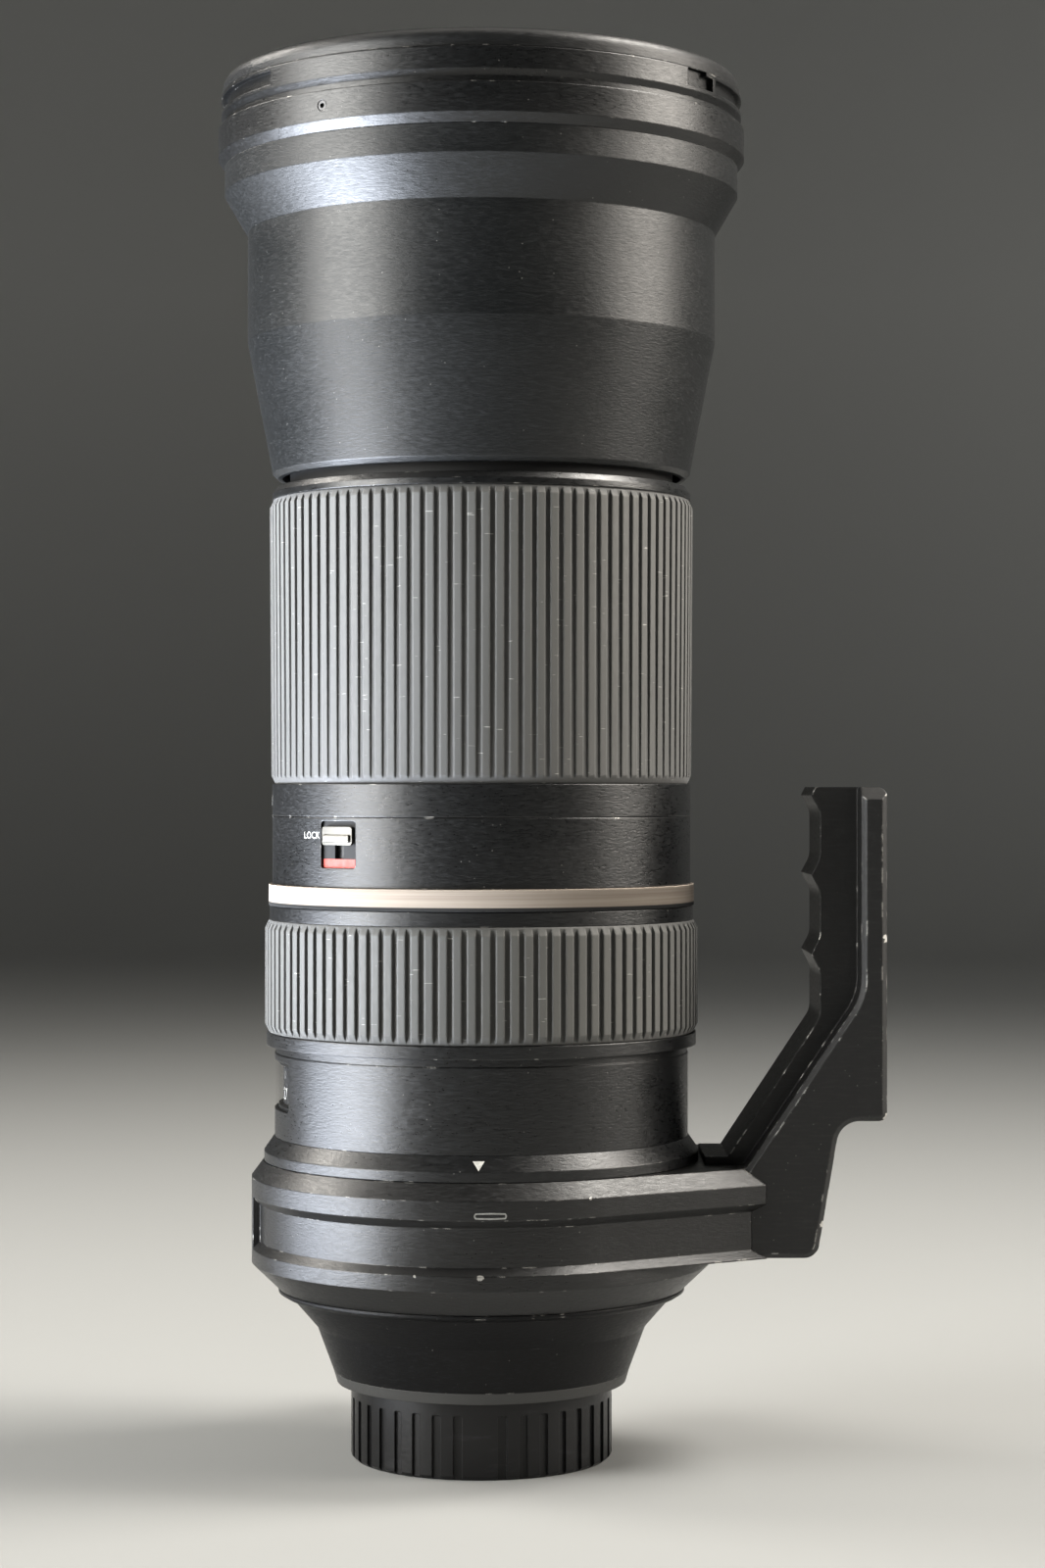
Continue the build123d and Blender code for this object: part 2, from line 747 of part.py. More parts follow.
def make_collar_retainer():
    """Ring that holds the tripod collar on its journal."""
    bore = cone_radius_high + seat_gap
    middle = (bore + retainer_radius) / 2
    return turned(
        (bore, cone_top), (middle, cone_top), (retainer_radius, retainer_top - retainer_height / 2),
        (retainer_radius, retainer_top), (bore, retainer_top),
    )


def make_index_ring():
    journal = journal_radius + seat_gap
    return turned(
        (journal, index_base), (index_radius, index_base), (index_radius, index_shoulder),
        (index_top_radius, index_top), (shell_bore, index_top), (shell_bore, housing_top),
        (journal, housing_top),
    )


def window_cutter(margin):
    """Outline of the distance window, wider by margin on each side, pushed out through the walls."""
    width = chord(rear_barrel_radius, window_angle) + 2 * margin
    height = window_height + 2 * margin
    return radial_plate(
        width, height, window_corner, main_bore / 2, rear_barrel_radius + overrun, window_centre,
        (window_base + window_top) / 2,
    )


def make_rear_barrel():
    shell = turned(
        (shell_bore, index_top), (rear_barrel_radius, index_top), (rear_barrel_radius, rear_barrel_top),
        (groove_radius, rear_barrel_top), (groove_radius, stop_band_base), (stop_band_radius, stop_band_base),
        (stop_band_radius, stop_band_top), (shell_bore, stop_band_top),
    )
    return shell - window_cutter(0)


def make_distance_window():
    """Clear pane, let into the rear barrel over a smaller opening in the main barrel."""
    pane = tube(rear_barrel_radius - window_inset, shell_bore, window_base - overrun, window_top + overrun)
    return pane & window_cutter(-seat_gap)


def make_main_barrel():
    """Fixed barrel that carries the focus ring, the switches and the front bearing of the zoom."""
    bearing = cam_radius + run_gap
    shell = turned(
        (guide_radius + seat_gap, housing_top), (main_radius, housing_top), (main_radius, name_top),
        (barrel_radius, name_top), (barrel_radius, section_top), (bearing, section_top),
        (bearing, section_top - cam_land), (main_bore, section_top - cam_land), (main_bore, flange_top),
        (guide_radius + seat_gap, flange_top),
    )
    shell -= window_cutter(-window_lip)
    for n in range(focus_key_count):
        shell -= turning_slot(
            focus_key_radius + slot_gap, main_bore - overrun, main_radius + overrun,
            360 * n / focus_key_count + focus_phase, focus_turn, focus_key_level,
        )
    shell -= pocket(panel_floor, chord(barrel_radius, panel_angle), panel_height, panel_corner, panel_centre,
                    panel_level)
    shell -= pocket(
        panel_floor, lock_plate_width, lock_plate_height, lock_corner, lock_centre, lock_plate_level)
    for direction in switch_directions():
        shell -= stem_slot(direction, switch_level, knob_travel)
    return shell - stem_slot(lock_centre, lock_level, lock_travel)


def switch_directions():
    return [panel_centre + switch_pitch_angle * (n - (switch_count - 1) / 2) for n in range(switch_count)]


def pocket(floor, width, height, corner, direction, level):
    """Cutter for a shallow pocket with a curved floor in the switch section."""
    ring = tube(barrel_radius + 2 * overrun, floor, name_top - overrun, section_top + overrun)
    return ring & radial_plate(
        width, height, corner, barrel_radius / 2, barrel_radius + 2 * overrun, direction, level)


def stem_slot(direction, level, travel):
    """Cutter for the slot in which a slider's stem travels down from level."""
    floor = panel_floor - stem_depth - free_gap
    return radial_plate(
        stem_width + 2 * stem_gap, stem_height + 2 * stem_gap + travel, stem_gap, floor,
        barrel_radius + overrun, direction, level - travel / 2,
    )


def slider(width, height, corner, outer, direction, level):
    """Slide button with a stem that reaches through its plate."""
    button = curved_patch(outer, recess_floor + slide_gap, width, height, corner, direction, level)
    stem = radial_plate(
        stem_width, stem_height, stem_gap, panel_floor - stem_depth, recess_floor + 2 * slide_gap, direction,
        level,
    )
    return button + stem


def make_switch_panel():
    plate = curved_patch(
        barrel_radius + panel_proud, panel_floor + seat_gap, chord(barrel_radius, panel_angle) - 2 * seat_gap,
        panel_height - 2 * seat_gap, panel_corner, panel_centre, panel_level,
    )
    width = knob_width + 2 * knob_recess_gap
    height = knob_height + knob_travel + 2 * knob_recess_gap
    for direction in switch_directions():
        plate -= pocket(recess_floor, width, height, knob_recess_gap, direction, panel_level)
        plate -= stem_slot(direction, switch_level, knob_travel)
    return plate


def make_switch(direction):
    return slider(
        knob_width, knob_height, knob_recess_gap, barrel_radius + knob_proud, direction, switch_level)


def make_lock_plate():
    plate = curved_patch(
        recess_floor, panel_floor + seat_gap, lock_plate_width - 2 * seat_gap,
        lock_plate_height - 2 * seat_gap, lock_corner, lock_centre, lock_plate_level,
    )
    return plate - stem_slot(lock_centre, lock_level, lock_travel)


def make_zoom_lock():
    return slider(lock_width, lock_height, lock_corner, barrel_radius + lock_proud, lock_centre, lock_level)


def make_guide_tube():
    """Fixed inner tube whose straight slots keep the moving groups from turning."""
    shell = tube(guide_radius, guide_bore, housing_top, guide_top)
    start = guide_bore - overrun
    end = guide_radius + overrun
    runs = [
        (0, extension_roller_level, zoom_travel),
        (group_phase, group_roller_level, group_travel),
        (focus_phase, focus_roller_level, focus_travel),
    ]
    for phase, low, travel in runs:
        shell -= around(straight_slot(slot_half, start, end, 0, low, low + travel), roller_count, phase)
    return shell


def make_name_ring():
    return tube(name_ring_radius, shell_bore, name_base, name_top)


def make_motor_stator():
    return tube(main_bore - seat_gap, guide_radius + free_gap, flange_top, stator_top)


def make_motor_rotor():
    return tube(focus_cam_radius, focus_cam_bore, rotor_base, focus_cam_base)


def make_focus_cam():
    """Tube that turns with the focus ring and drives the focus cell."""
    shell = tube(focus_cam_radius, focus_cam_bore, focus_cam_base, focus_cam_top)
    start = focus_cam_bore - overrun
    end = focus_cam_radius + overrun
    slot = helical_slot(slot_half, start, end, 0, focus_turn, focus_roller_level, focus_travel)
    shell -= around(slot, roller_count, focus_phase)
    key = radial_pin(focus_key_radius + seat_gap, start, end, 0, focus_key_level)
    return shell - around(key, focus_key_count, focus_phase)


def make_focus_keys():
    """Pins that carry the focus ring's turn through the main barrel's slots."""
    start = focus_cam_bore + seat_gap
    key = radial_pin(focus_key_radius, start, barrel_radius - seat_gap, 0, focus_key_level)
    return around(key, focus_key_count, focus_phase)


def make_scale_drum():
    bore = focus_cam_radius + seat_gap
    return tube(bore + drum_wall, bore, window_base - window_lip, window_top + window_lip)


def make_focus_ring():
    sleeve = turned(
        (focus_sleeve_bore, focus_base), (barrel_radius, focus_base), (barrel_radius, focus_grip_top),
        (focus_lip_radius, focus_grip_top), (focus_lip_radius, focus_top), (focus_sleeve_bore, focus_top),
    )
    hole = radial_pin(
        focus_key_radius + seat_gap, focus_sleeve_bore - overrun, barrel_radius + overrun, 0, focus_key_level)
    return sleeve - around(hole, focus_key_count, focus_phase)


def make_focus_grip():
    return grip(
        focus_grip_radius, focus_base, focus_grip_top - seat_gap, focus_rib_depth,
        focus_grip_wall - seat_gap, 0,
    )


def rollers(outer, level):
    """Rollers that stand out of a cell into the cam slots."""
    roller = radial_pin(roller_radius, cell_radius - roller_root, outer - roller_inset, 0, level)
    return around(roller, roller_count)


def roller_holes(level):
    """Blind holes for the roots of a cell's rollers."""
    start = cell_radius - roller_root - seat_gap
    hole = radial_pin(roller_radius + seat_gap, start, cell_radius + overrun, 0, level)
    return around(hole, roller_count)


def make_focus_cell():
    body = cell(cell_radius, focus_glass, focus_cell_base, focus_cell_length, focus_roller_level)
    return body - [Rot(0, 0, focus_phase) * hole for hole in roller_holes(focus_roller_level)]


def make_focus_rollers():
    return [Rot(0, 0, focus_phase) * roller for roller in rollers(focus_cam_radius, focus_roller_level)]


def make_focus_elements():
    low = focus_cell_base + lip_height
    return [
        lens(focus_glass, glass_edge, bulge_share, -hollow_share, low),
        lens(focus_glass, glass_edge, -bulge_share, hollow_share, low + focus_cell_length / 2),
    ]


def make_stabiliser_base():
    low = stabiliser_base_level
    plate = tube(fixed_cell_radius, stabiliser_opening, low, low + stabiliser_plate)
    return plate + tube(fixed_cell_radius, fixed_cell_radius - cell_wall, low, stabiliser_top)


def make_stabiliser_frame():
    """Floating frame, free to shift sideways inside its base."""
    low = stabiliser_frame_level
    bore = stabiliser_glass + seat_gap
    rim = fixed_cell_radius - cell_wall - stabiliser_play
    hub = tube(bore + cell_wall, bore, low, stabiliser_top)
    lip = tube(bore + cell_wall, stabiliser_glass - lens_lip, low, low + lip_height)
    return hub + lip + tube(rim, bore, low, low + cell_web)


def make_stabiliser_element():
    return lens(
        stabiliser_glass, glass_edge, bulge_share, -hollow_share, stabiliser_frame_level + lip_height)


def make_iris_housing():
    cover_level = iris_top - iris_wall
    base = tube(fixed_cell_radius, iris_opening, iris_base_level, iris_base_level + iris_wall)
    cover = tube(fixed_cell_radius, iris_opening, cover_level, iris_top)
    return base + cover + tube(fixed_cell_radius, fixed_cell_radius - cell_wall, iris_base_level, iris_top)


def make_iris_blades():
    """Thin blades, wide open and spread out so that none touches the next."""
    inner = iris_opening + iris_blade_gap
    outer = fixed_cell_radius - cell_wall - iris_blade_gap
    pitch = (iris_height - 2 * iris_wall) / iris_blade_count
    blades = []
    for n in range(iris_blade_count):
        low = iris_base_level + iris_wall + pitch * n + (pitch - iris_blade_thickness) / 2
        direction = 360 * n / iris_blade_count
        blades.append(
            sector(outer, inner, low, low + iris_blade_thickness, direction, iris_blade_angle))
    return blades


def make_zoom_cell():
    body = cell(cell_radius, zoom_glass, zoom_cell_base, zoom_cell_length, group_roller_level)
    return body - [Rot(0, 0, group_phase) * hole for hole in roller_holes(group_roller_level)]


def make_zoom_rollers():
    return [Rot(0, 0, group_phase) * roller for roller in rollers(cam_radius, group_roller_level)]


def make_zoom_elements():
    low = zoom_cell_base + lip_height
    return [
        lens(zoom_glass, glass_edge, -bulge_share, -hollow_share, low),
        lens(zoom_glass, glass_edge, bulge_share, hollow_share, low + zoom_cell_length / 2),
    ]


def zoom_key_set(radius, start, end):
    """Screws, or the holes for them, that tie the cam tube to the zoom ring."""
    return around(radial_pin(radius, start, end, 0, zoom_key_level), zoom_key_count)


def make_cam_tube():
    """Tube that turns with the zoom ring: one set of slots for each moving group."""
    shell = tube(cam_radius, cam_bore, cam_base, cam_top)
    start = cam_bore - overrun
    end = cam_radius + overrun
    runs = [
        (0, extension_roller_level, zoom_travel),
        (group_phase, group_roller_level, group_travel),
    ]
    for phase, low, travel in runs:
        shell -= around(helical_slot(slot_half, start, end, 0, zoom_turn, low, travel), roller_count, phase)
    return shell - zoom_key_set(zoom_key_radius + seat_gap, start, end)


def make_zoom_keys():
    return zoom_key_set(zoom_key_radius, cam_bore + seat_gap, zoom_sleeve_radius - seat_gap)


def make_zoom_ring():
    """Sleeve under the rubber grip, with the smooth band behind it and a thin lip in front."""
    lip_level = zoom_grip_top + zoom_end_height / 2
    sleeve = turned(
        (zoom_sleeve_bore, zoom_base), (barrel_radius, zoom_base), (barrel_radius, zoom_band_top),
        (zoom_sleeve_radius, zoom_band_top), (zoom_sleeve_radius, zoom_grip_top),
        (barrel_radius, zoom_grip_top), (barrel_radius, lip_level), (zoom_sleeve_radius, zoom_top),
        (zoom_sleeve_bore, zoom_top),
    )
    return sleeve - zoom_key_set(
        zoom_key_radius + seat_gap, zoom_sleeve_bore - overrun, zoom_sleeve_radius + overrun)


def make_zoom_grip():
    return grip(
        zoom_grip_radius, zoom_band_top + seat_gap, zoom_grip_top - seat_gap, zoom_rib_depth,
        zoom_grip_wall - seat_gap, zoom_grip_taper,
    )


def front_radius(level):
    """Outside radius of the front barrel's taper."""
    lean = (front_tube_radius - front_tail_radius) / (front_taper_top - front_lip_top)
    return front_tail_radius + lean * (level - front_lip_top)


def make_extension_tube():
    """Tube that carries the front barrel and slides over the guide tube."""
    shell = tube(extension_radius, extension_bore, cam_base, extension_top)
    flange_radius = front_radius(extension_top - extension_flange) - front_wall
    flange = tube(flange_radius, extension_bore, extension_top - extension_flange, extension_top)
    start = extension_bore - overrun
    end = extension_radius + overrun
    hole = radial_pin(roller_radius + seat_gap, start, end, 0, extension_roller_level)
    slot = straight_slot(slot_half, start, end, 0, cam_base - slot_half, group_roller_level)
    return shell + flange - around(hole, roller_count) - around(slot, roller_count, group_phase)


def make_extension_rollers():
    return around(
        radial_pin(
            roller_radius, guide_bore + roller_inset, cam_radius - roller_inset, 0, extension_roller_level),
        roller_count,
    )


def make_front_barrel():
    """Front barrel: rounded rear lip, taper, plain length, flare, bead and the hood ring's spigot."""
    lip = front_lip_top - front_base
    seat_level = extension_top - extension_flange
    seat = front_radius(seat_level) - front_wall + seat_gap
    rear_bore = cam_radius + free_gap
    plain_bore = front_tube_radius - front_wall
    return turned(
        (front_tail_radius - lip, front_base), (front_tail_radius, front_lip_top),
        (front_tube_radius, front_taper_top), (front_tube_radius, front_cylinder_top),
        (front_bead_radius, front_flare_top), (front_bead_radius, hood_base), (spigot_radius, hood_base),
        (spigot_radius, front_lip_base), (spigot_bore, front_lip_base), (spigot_bore, front_flare_top),
        (plain_bore, front_cylinder_top), (plain_bore, front_taper_top), (seat, extension_top),
        (seat, seat_level), (rear_bore, front_lip_top), (rear_bore, front_base),
    )


def hood_screw_set(radius, start, end):
    """Set screws of the hood ring, or the holes for them."""
    return around(radial_pin(radius, start, end, 0, hood_screw_level), hood_screw_count, hood_screw_phase)


def make_hood_ring():
    """Ring with the bayonet grooves for a lens hood."""
    bore = spigot_radius + seat_gap
    ring = turned(
        (bore, hood_base), (front_bead_radius, hood_base), (hood_band_radius, hood_band_base),
        (hood_band_radius, hood_band_top), (hood_groove_radius, hood_band_top),
        (hood_groove_radius, hood_band_top + hood_groove_height / 2), (bayonet_band_radius, bayonet_base),
        (bayonet_band_radius, bayonet_top), (bore, bayonet_top),
    )
    slot_low = bayonet_base + (bayonet_band_height - bayonet_slot_height) / 2
    slot_top = slot_low + bayonet_slot_height
    floor = bayonet_band_radius - bayonet_slot_depth
    outer = bayonet_band_radius + overrun
    for side in (0, 180):
        entry = side - (bayonet_slot_angle - bayonet_entry_angle) / 2
        post = entry + bayonet_entry_angle
        ring -= sector(outer, floor, slot_low, slot_top, side, bayonet_slot_angle)
        ring -= sector(outer, floor, slot_low, bayonet_top + overrun, entry, bayonet_entry_angle)
        ring += sector(bayonet_band_radius, floor - seat_gap, slot_low, slot_top, post, bayonet_post_angle)
    return ring - hood_screw_set(hood_screw_radius + seat_gap, spigot_radius, hood_band_radius + overrun)


def make_hood_ring_screws():
    outer = hood_band_radius - hood_screw_sunk
    sockets = hood_screw_set(hood_screw_socket, outer - hood_screw_socket_depth, outer + overrun)
    screws = hood_screw_set(hood_screw_radius, spigot_radius + seat_gap, outer)
    return [screw - socket for screw, socket in zip(screws, sockets)]


def make_filter_ring():
    """Front rim with a rounded edge and the bore of the filter thread."""
    spigot = filter_thread_radius + filter_wall
    edge_level = front_top - front_lip_round
    side = Line((front_lip_radius, front_lip_base), (front_lip_radius, edge_level))
    rounding = RadiusArc((front_lip_radius, edge_level), (front_rim_radius, front_top), -front_lip_round)
    rest = Polyline(
        (front_rim_radius, front_top), (filter_thread_radius, front_top),
        (filter_thread_radius, filter_spigot_base), (spigot, filter_spigot_base), (spigot, front_lip_base),
        (front_lip_radius, front_lip_base),
    )
    return revolve(Plane.XZ * make_face([side, rounding, rest]), Axis.Z)


def make_front_bezel():
    """Ring that holds the front glass."""
    outer = filter_thread_radius + filter_wall
    bore = front_glass - bezel_lip
    return turned(
        (bore, front_seat), (outer, front_seat), (outer, filter_spigot_base),
        (bore + bezel_height, filter_spigot_base), (bore, front_seat + bezel_height / 2),
    )


def make_front_cell():
    """Cell of the front group, with a shoulder behind the front glass."""
    low = front_seat - front_cell_length
    bore = front_glass + seat_gap
    outer = spigot_bore - seat_gap
    lean = (outer - front_tube_radius + front_wall) / front_flare_height
    step = outer - lean * (front_flare_top - low)
    return turned(
        (bore, front_seat), (outer, front_seat), (outer, front_flare_top), (step, low),
        (bore - cell_web, low), (bore - cell_web, front_shoulder), (bore, front_shoulder),
    )


def make_front_elements():
    inner_radius = front_glass - cell_web - seat_gap
    second_low = front_seat - front_cell_length + lip_height
    return [
        lens(front_glass, front_glass_edge, bulge_share, -hollow_share, front_shoulder),
        lens(inner_radius, glass_edge, hollow_share, -hollow_share, second_low),
    ]


def side_at(radius, x):
    """Distance from the foot's centre plane to the collar's straight side, at x."""
    angle = math.radians(collar_side_angle)
    return (radius - x * math.cos(angle)) / math.sin(angle)


def make_tripod_collar():
    """Collar: rims and a channel round it, and straight sides that run out to the foot."""
    lower = [
        (retainer_radius, collar_base), (collar_shoulder, shoulder_level - shoulder_drop),
        (rim_radius, shoulder_level),
    ]
    upper = [
        (rim_radius, rim_low_top), (channel_radius, channel_base), (channel_radius, channel_top),
        (rim_radius, rim_high_base), (rim_radius, rim_high_top), (collar_top_radius, collar_top),
    ]
    body = turned((collar_bore, collar_base), *lower, *upper, (collar_bore, collar_top))
    # straight sides with the same rims and channel, above the foot's underside only
    outline = [(collar_bore, foot_bottom), (rim_radius, foot_bottom), *upper, (collar_bore, collar_top)]
    angle = math.radians(collar_side_angle)
    # the rims run on until they meet the foot's flanks
    meeting = (rim_radius - foot_half_width * math.sin(angle)) / math.cos(angle)
    side = Rot(0, 0, collar_side_angle) * extrude(
        Plane.XZ * make_face(Polyline(*outline, close=True)),
        (meeting - rim_radius * math.cos(angle)) / math.sin(angle),
    )
    body += side + mirror(side, Plane.XZ)
    near = (collar_bore * math.cos(angle), collar_bore * math.sin(angle))
    far = (foot_root + overrun, side_at(collar_bore, foot_root + overrun))
    filling = Polyline((0, 0), near, far, (far[0], -far[1]), (near[0], -near[1]), close=True)
    body += Pos(0, 0, foot_bottom) * extrude(make_face(filling), collar_top - foot_bottom)
    # flush pad opposite the foot, where the channel stops
    body += sector(rim_radius, channel_radius - overrun, rim_low_top, rim_high_base, pad_direction,
                   pad_angle)
    # boss for the clamp knob
    body += radial_pin(
        knob_boss_radius, collar_bore - overrun, knob_boss_reach, knob_direction, knob_level)
    body -= disc(collar_bore, collar_base - overrun, collar_top + overrun)
    body -= radial_pin(
        knob_shank + run_gap, collar_bore - overrun, knob_boss_reach + overrun, knob_direction, knob_level)
    root = Box(
        foot_reach - foot_root, 2 * (foot_half_width + seat_gap), foot_top - foot_bottom + 2 * overrun,
        align=(Align.MIN, Align.CENTER, Align.MIN),
    )
    body -= Pos(foot_root - seat_gap, 0, foot_bottom - overrun) * root
    return body - foot_screw_set(foot_screw_shank + seat_gap, foot_screw_tip - seat_gap, foot_root)


def foot_screw_places():
    """Sideways place and level of each screw of the foot."""
    sides = (-foot_screw_spread / 2, foot_screw_spread / 2)
    low = foot_bottom + foot_screw_low
    return [(y, level) for y in sides for level in (low, low + foot_screw_rise)]


def foot_screw_set(radius, start, end):
    """Round bars along the foot's screws."""
    bar = Rot(0, 90, 0) * extrude(Circle(radius), end - start)
    return [Pos(start, y, level) * bar for y, level in foot_screw_places()]


def foot_flank():
    """Side view of the foot at its full width."""
    face = make_face(Polyline(
        (foot_root, foot_bottom), (foot_heel, foot_bottom), (foot_neck, foot_shelf),
        (foot_reach, foot_shelf), (foot_reach, foot_top), (foot_inner, foot_top), (foot_inner, foot_bend),
        (foot_root + foot_arm_foot, collar_top), (foot_root, collar_top), close=True,
    ))
    blends = [
        (foot_inner, foot_bend, foot_bend_blend), (foot_neck, foot_shelf, foot_shelf_blend),
        (foot_heel, foot_bottom, foot_heel_blend), (foot_reach, foot_top, foot_corner),
        (foot_reach, foot_shelf, foot_corner),
    ]
    for x, level, radius in blends:
        face = fillet(vertex_near(face, (x, level)), radius)
    return face


def rib_side():
    """Side view of the rib behind the foot's plate, with its finger scallops."""
    valley = rib_inner + rib_scallop_depth
    block_top = collar_top + rib_block_height
    block_end = foot_root - rib_block_back
    points = [(foot_inner, foot_top), (rib_inner + rib_edge, foot_top)]
    corners = []
    for n in range(rib_scallop_count):
        cusp = scallop_start - n * rib_scallop_pitch
        rise = (valley, cusp - rib_scallop_ramp)
        fall = (valley, cusp - rib_scallop_pitch + rib_scallop_ramp)
        points += [(rib_inner, cusp), rise, fall]
        corners += [rise, fall]
    # the last scallop runs out into the rib's arm
    points += [
        (foot_root - rib_arm_back, block_top), (block_end, block_top), (block_end, collar_top + seat_gap),
        (foot_heel, collar_top + seat_gap), (foot_inner, foot_bend),
    ]
    face = make_face(Polyline(*points, close=True))
    for corner in corners:
        face = fillet(vertex_near(face, corner), rib_scallop_blend)
    return face


def vertex_near(face, place):
    """Corner of a flat outline that lies nearest to a place."""
    return face.vertices().sort_by(lambda corner: math.dist((corner.X, corner.Y), place))[0]


def slab(face, half_width):
    """Side view given its width about the centre plane."""
    return Pos(0, half_width, 0) * extrude(Plane.XZ * face, 2 * half_width)


def top_bevel():
    """Cutter for the bevel along one side of the foot's free end."""
    slope = foot_half_width + foot_top - foot_top_bevel
    outside = foot_half_width + overrun
    above = foot_top + overrun
    section = Polyline((slope - above, above), (outside, above), (outside, slope - outside), close=True)
    wedge = extrude(Plane.YZ * make_face(section), foot_plate + 2 * overrun)
    return Pos(foot_inner - overrun, 0, 0) * wedge


def make_tripod_foot():
    """Foot: long plate on a slanted arm, a finger rib behind it, and holes for screws and threads."""
    body = slab(foot_flank(), foot_half_width)
    body = chamfer(body.faces().filter_by(Axis.Y).edges(), foot_edge)
    bevel = top_bevel()
    body -= bevel + mirror(bevel, Plane.XZ)
    body += slab(rib_side(), rib_half_width)
    body -= foot_screw_set(foot_screw_shank + foot_screw_gap, foot_root - overrun, foot_reach)
    body -= foot_screw_set(foot_screw_head + foot_screw_gap, foot_screw_seat, foot_reach)
    for level, radius in insert_places():
        seat = Rot(0, 90, 0) * extrude(Circle(radius + insert_wall + seat_gap), insert_depth + overrun)
        body -= Pos(foot_reach - insert_depth - seat_gap, 0, level) * seat
    return body


def make_foot_screws():
    """Socket-head screws that hold the foot to the collar."""
    head_top = foot_screw_seat + foot_screw_head_height
    shanks = foot_screw_set(foot_screw_shank, foot_screw_tip, foot_screw_seat)
    heads = foot_screw_set(foot_screw_head, foot_screw_seat, head_top)
    socket = Rot(0, 90, 0) * extrude(
        RegularPolygon(foot_screw_socket, 6), foot_screw_socket_depth + overrun)
    sockets = [Pos(head_top - foot_screw_socket_depth, y, level) * socket for y, level in foot_screw_places()]
    return [shank + head - hole for shank, head, hole in zip(shanks, heads, sockets)]


def insert_places():
    """Level and thread radius of the two tripod threads, each behind a cusp of the rib."""
    return [
        (scallop_start - rib_scallop_pitch, large_thread),
        (scallop_start - 2 * rib_scallop_pitch, small_thread),
    ]


def make_thread_inserts():
    inserts = []
    for level, radius in insert_places():
        ring = Rot(0, 90, 0) * extrude(Circle(radius + insert_wall) - Circle(radius), insert_depth)
        inserts.append(Pos(foot_reach - insert_depth, 0, level) * ring)
    return inserts


def make_collar_knob():
    """Fluted clamp knob with its screw."""
    start = knob_boss_reach + knob_gap
    body = extrude(Circle(knob_radius), knob_length)
    body = chamfer(body.edges(), knob_edge)
    flute = extrude(Circle(knob_flute_radius), knob_length)
    body -= [place * flute for place in PolarLocations(knob_radius + knob_flute_radius / 2, knob_flutes)]
    shank_length = start - collar_bore - knob_shank_inset
    shank = Pos(0, 0, -shank_length) * extrude(Circle(knob_shank), shank_length + knob_edge)
    return Rot(0, 0, knob_direction) * Pos(start, 0, knob_level) * Rot(0, 90, 0) * (body + shank)


nodes = {
    "rear_cap": make_rear_cap(),
    "lens_mount": make_lens_mount(),
    "mount_screws": make_mount_screws(),
    "mount_seal": make_mount_seal(),
    "contact_block": make_contact_block(),
    "contact_pins": make_contact_pins(),
    "rear_baffle": make_rear_baffle(),
    "rear_housing": make_rear_housing(),
    "circuit_board": make_circuit_board(),
    "rear_cell": make_rear_cell(),
    "rear_elements": make_rear_elements(),
    "collar_retainer": make_collar_retainer(),
    "index_ring": make_index_ring(),
    "rear_barrel": make_rear_barrel(),
    "distance_window": make_distance_window(),
    "main_barrel": make_main_barrel(),
    "guide_tube": make_guide_tube(),
    "name_ring": make_name_ring(),
    "motor_stator": make_motor_stator(),
    "motor_rotor": make_motor_rotor(),
    "focus_cam": make_focus_cam(),
    "focus_keys": make_focus_keys(),
    "scale_drum": make_scale_drum(),
    "focus_ring": make_focus_ring(),
    "focus_grip": make_focus_grip(),
    "focus_cell": make_focus_cell(),
    "focus_rollers": make_focus_rollers(),
    "focus_elements": make_focus_elements(),
    "stabiliser_base": make_stabiliser_base(),
    "stabiliser_frame": make_stabiliser_frame(),
    "stabiliser_element": make_stabiliser_element(),
    "iris_housing": make_iris_housing(),
    "iris_blades": make_iris_blades(),
    "switch_panel": make_switch_panel(),
    "lock_plate": make_lock_plate(),
    "zoom_lock": make_zoom_lock(),
    "zoom_ring": make_zoom_ring(),
    "zoom_grip": make_zoom_grip(),
    "cam_tube": make_cam_tube(),
    "zoom_keys": make_zoom_keys(),
    "zoom_cell": make_zoom_cell(),
    "zoom_rollers": make_zoom_rollers(),
    "zoom_elements": make_zoom_elements(),
    "extension_tube": make_extension_tube(),
    "extension_rollers": make_extension_rollers(),
    "front_barrel": make_front_barrel(),
    "hood_ring": make_hood_ring(),
    "hood_ring_screws": make_hood_ring_screws(),
    "filter_ring": make_filter_ring(),
    "front_bezel": make_front_bezel(),
    "front_cell": make_front_cell(),
    "front_elements": make_front_elements(),
    "tripod_collar": make_tripod_collar(),
    "tripod_foot": make_tripod_foot(),
    "foot_screws": make_foot_screws(),
    "thread_inserts": make_thread_inserts(),
    "collar_knob": make_collar_knob(),
}
switch_names = ["focus_mode_switch", "focus_limit_switch", "stabiliser_switch"]
for name, direction in zip(switch_names, switch_directions()):
    nodes[name] = make_switch(direction)

os.makedirs("parts", exist_ok=True)
for name, shape in nodes.items():
    solid = Compound(children=shape) if isinstance(shape, list) else shape
    export_step(solid, "parts/" + name + ".step")
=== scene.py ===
import math

import bmesh
import bpy
from mathutils import Matrix, Vector


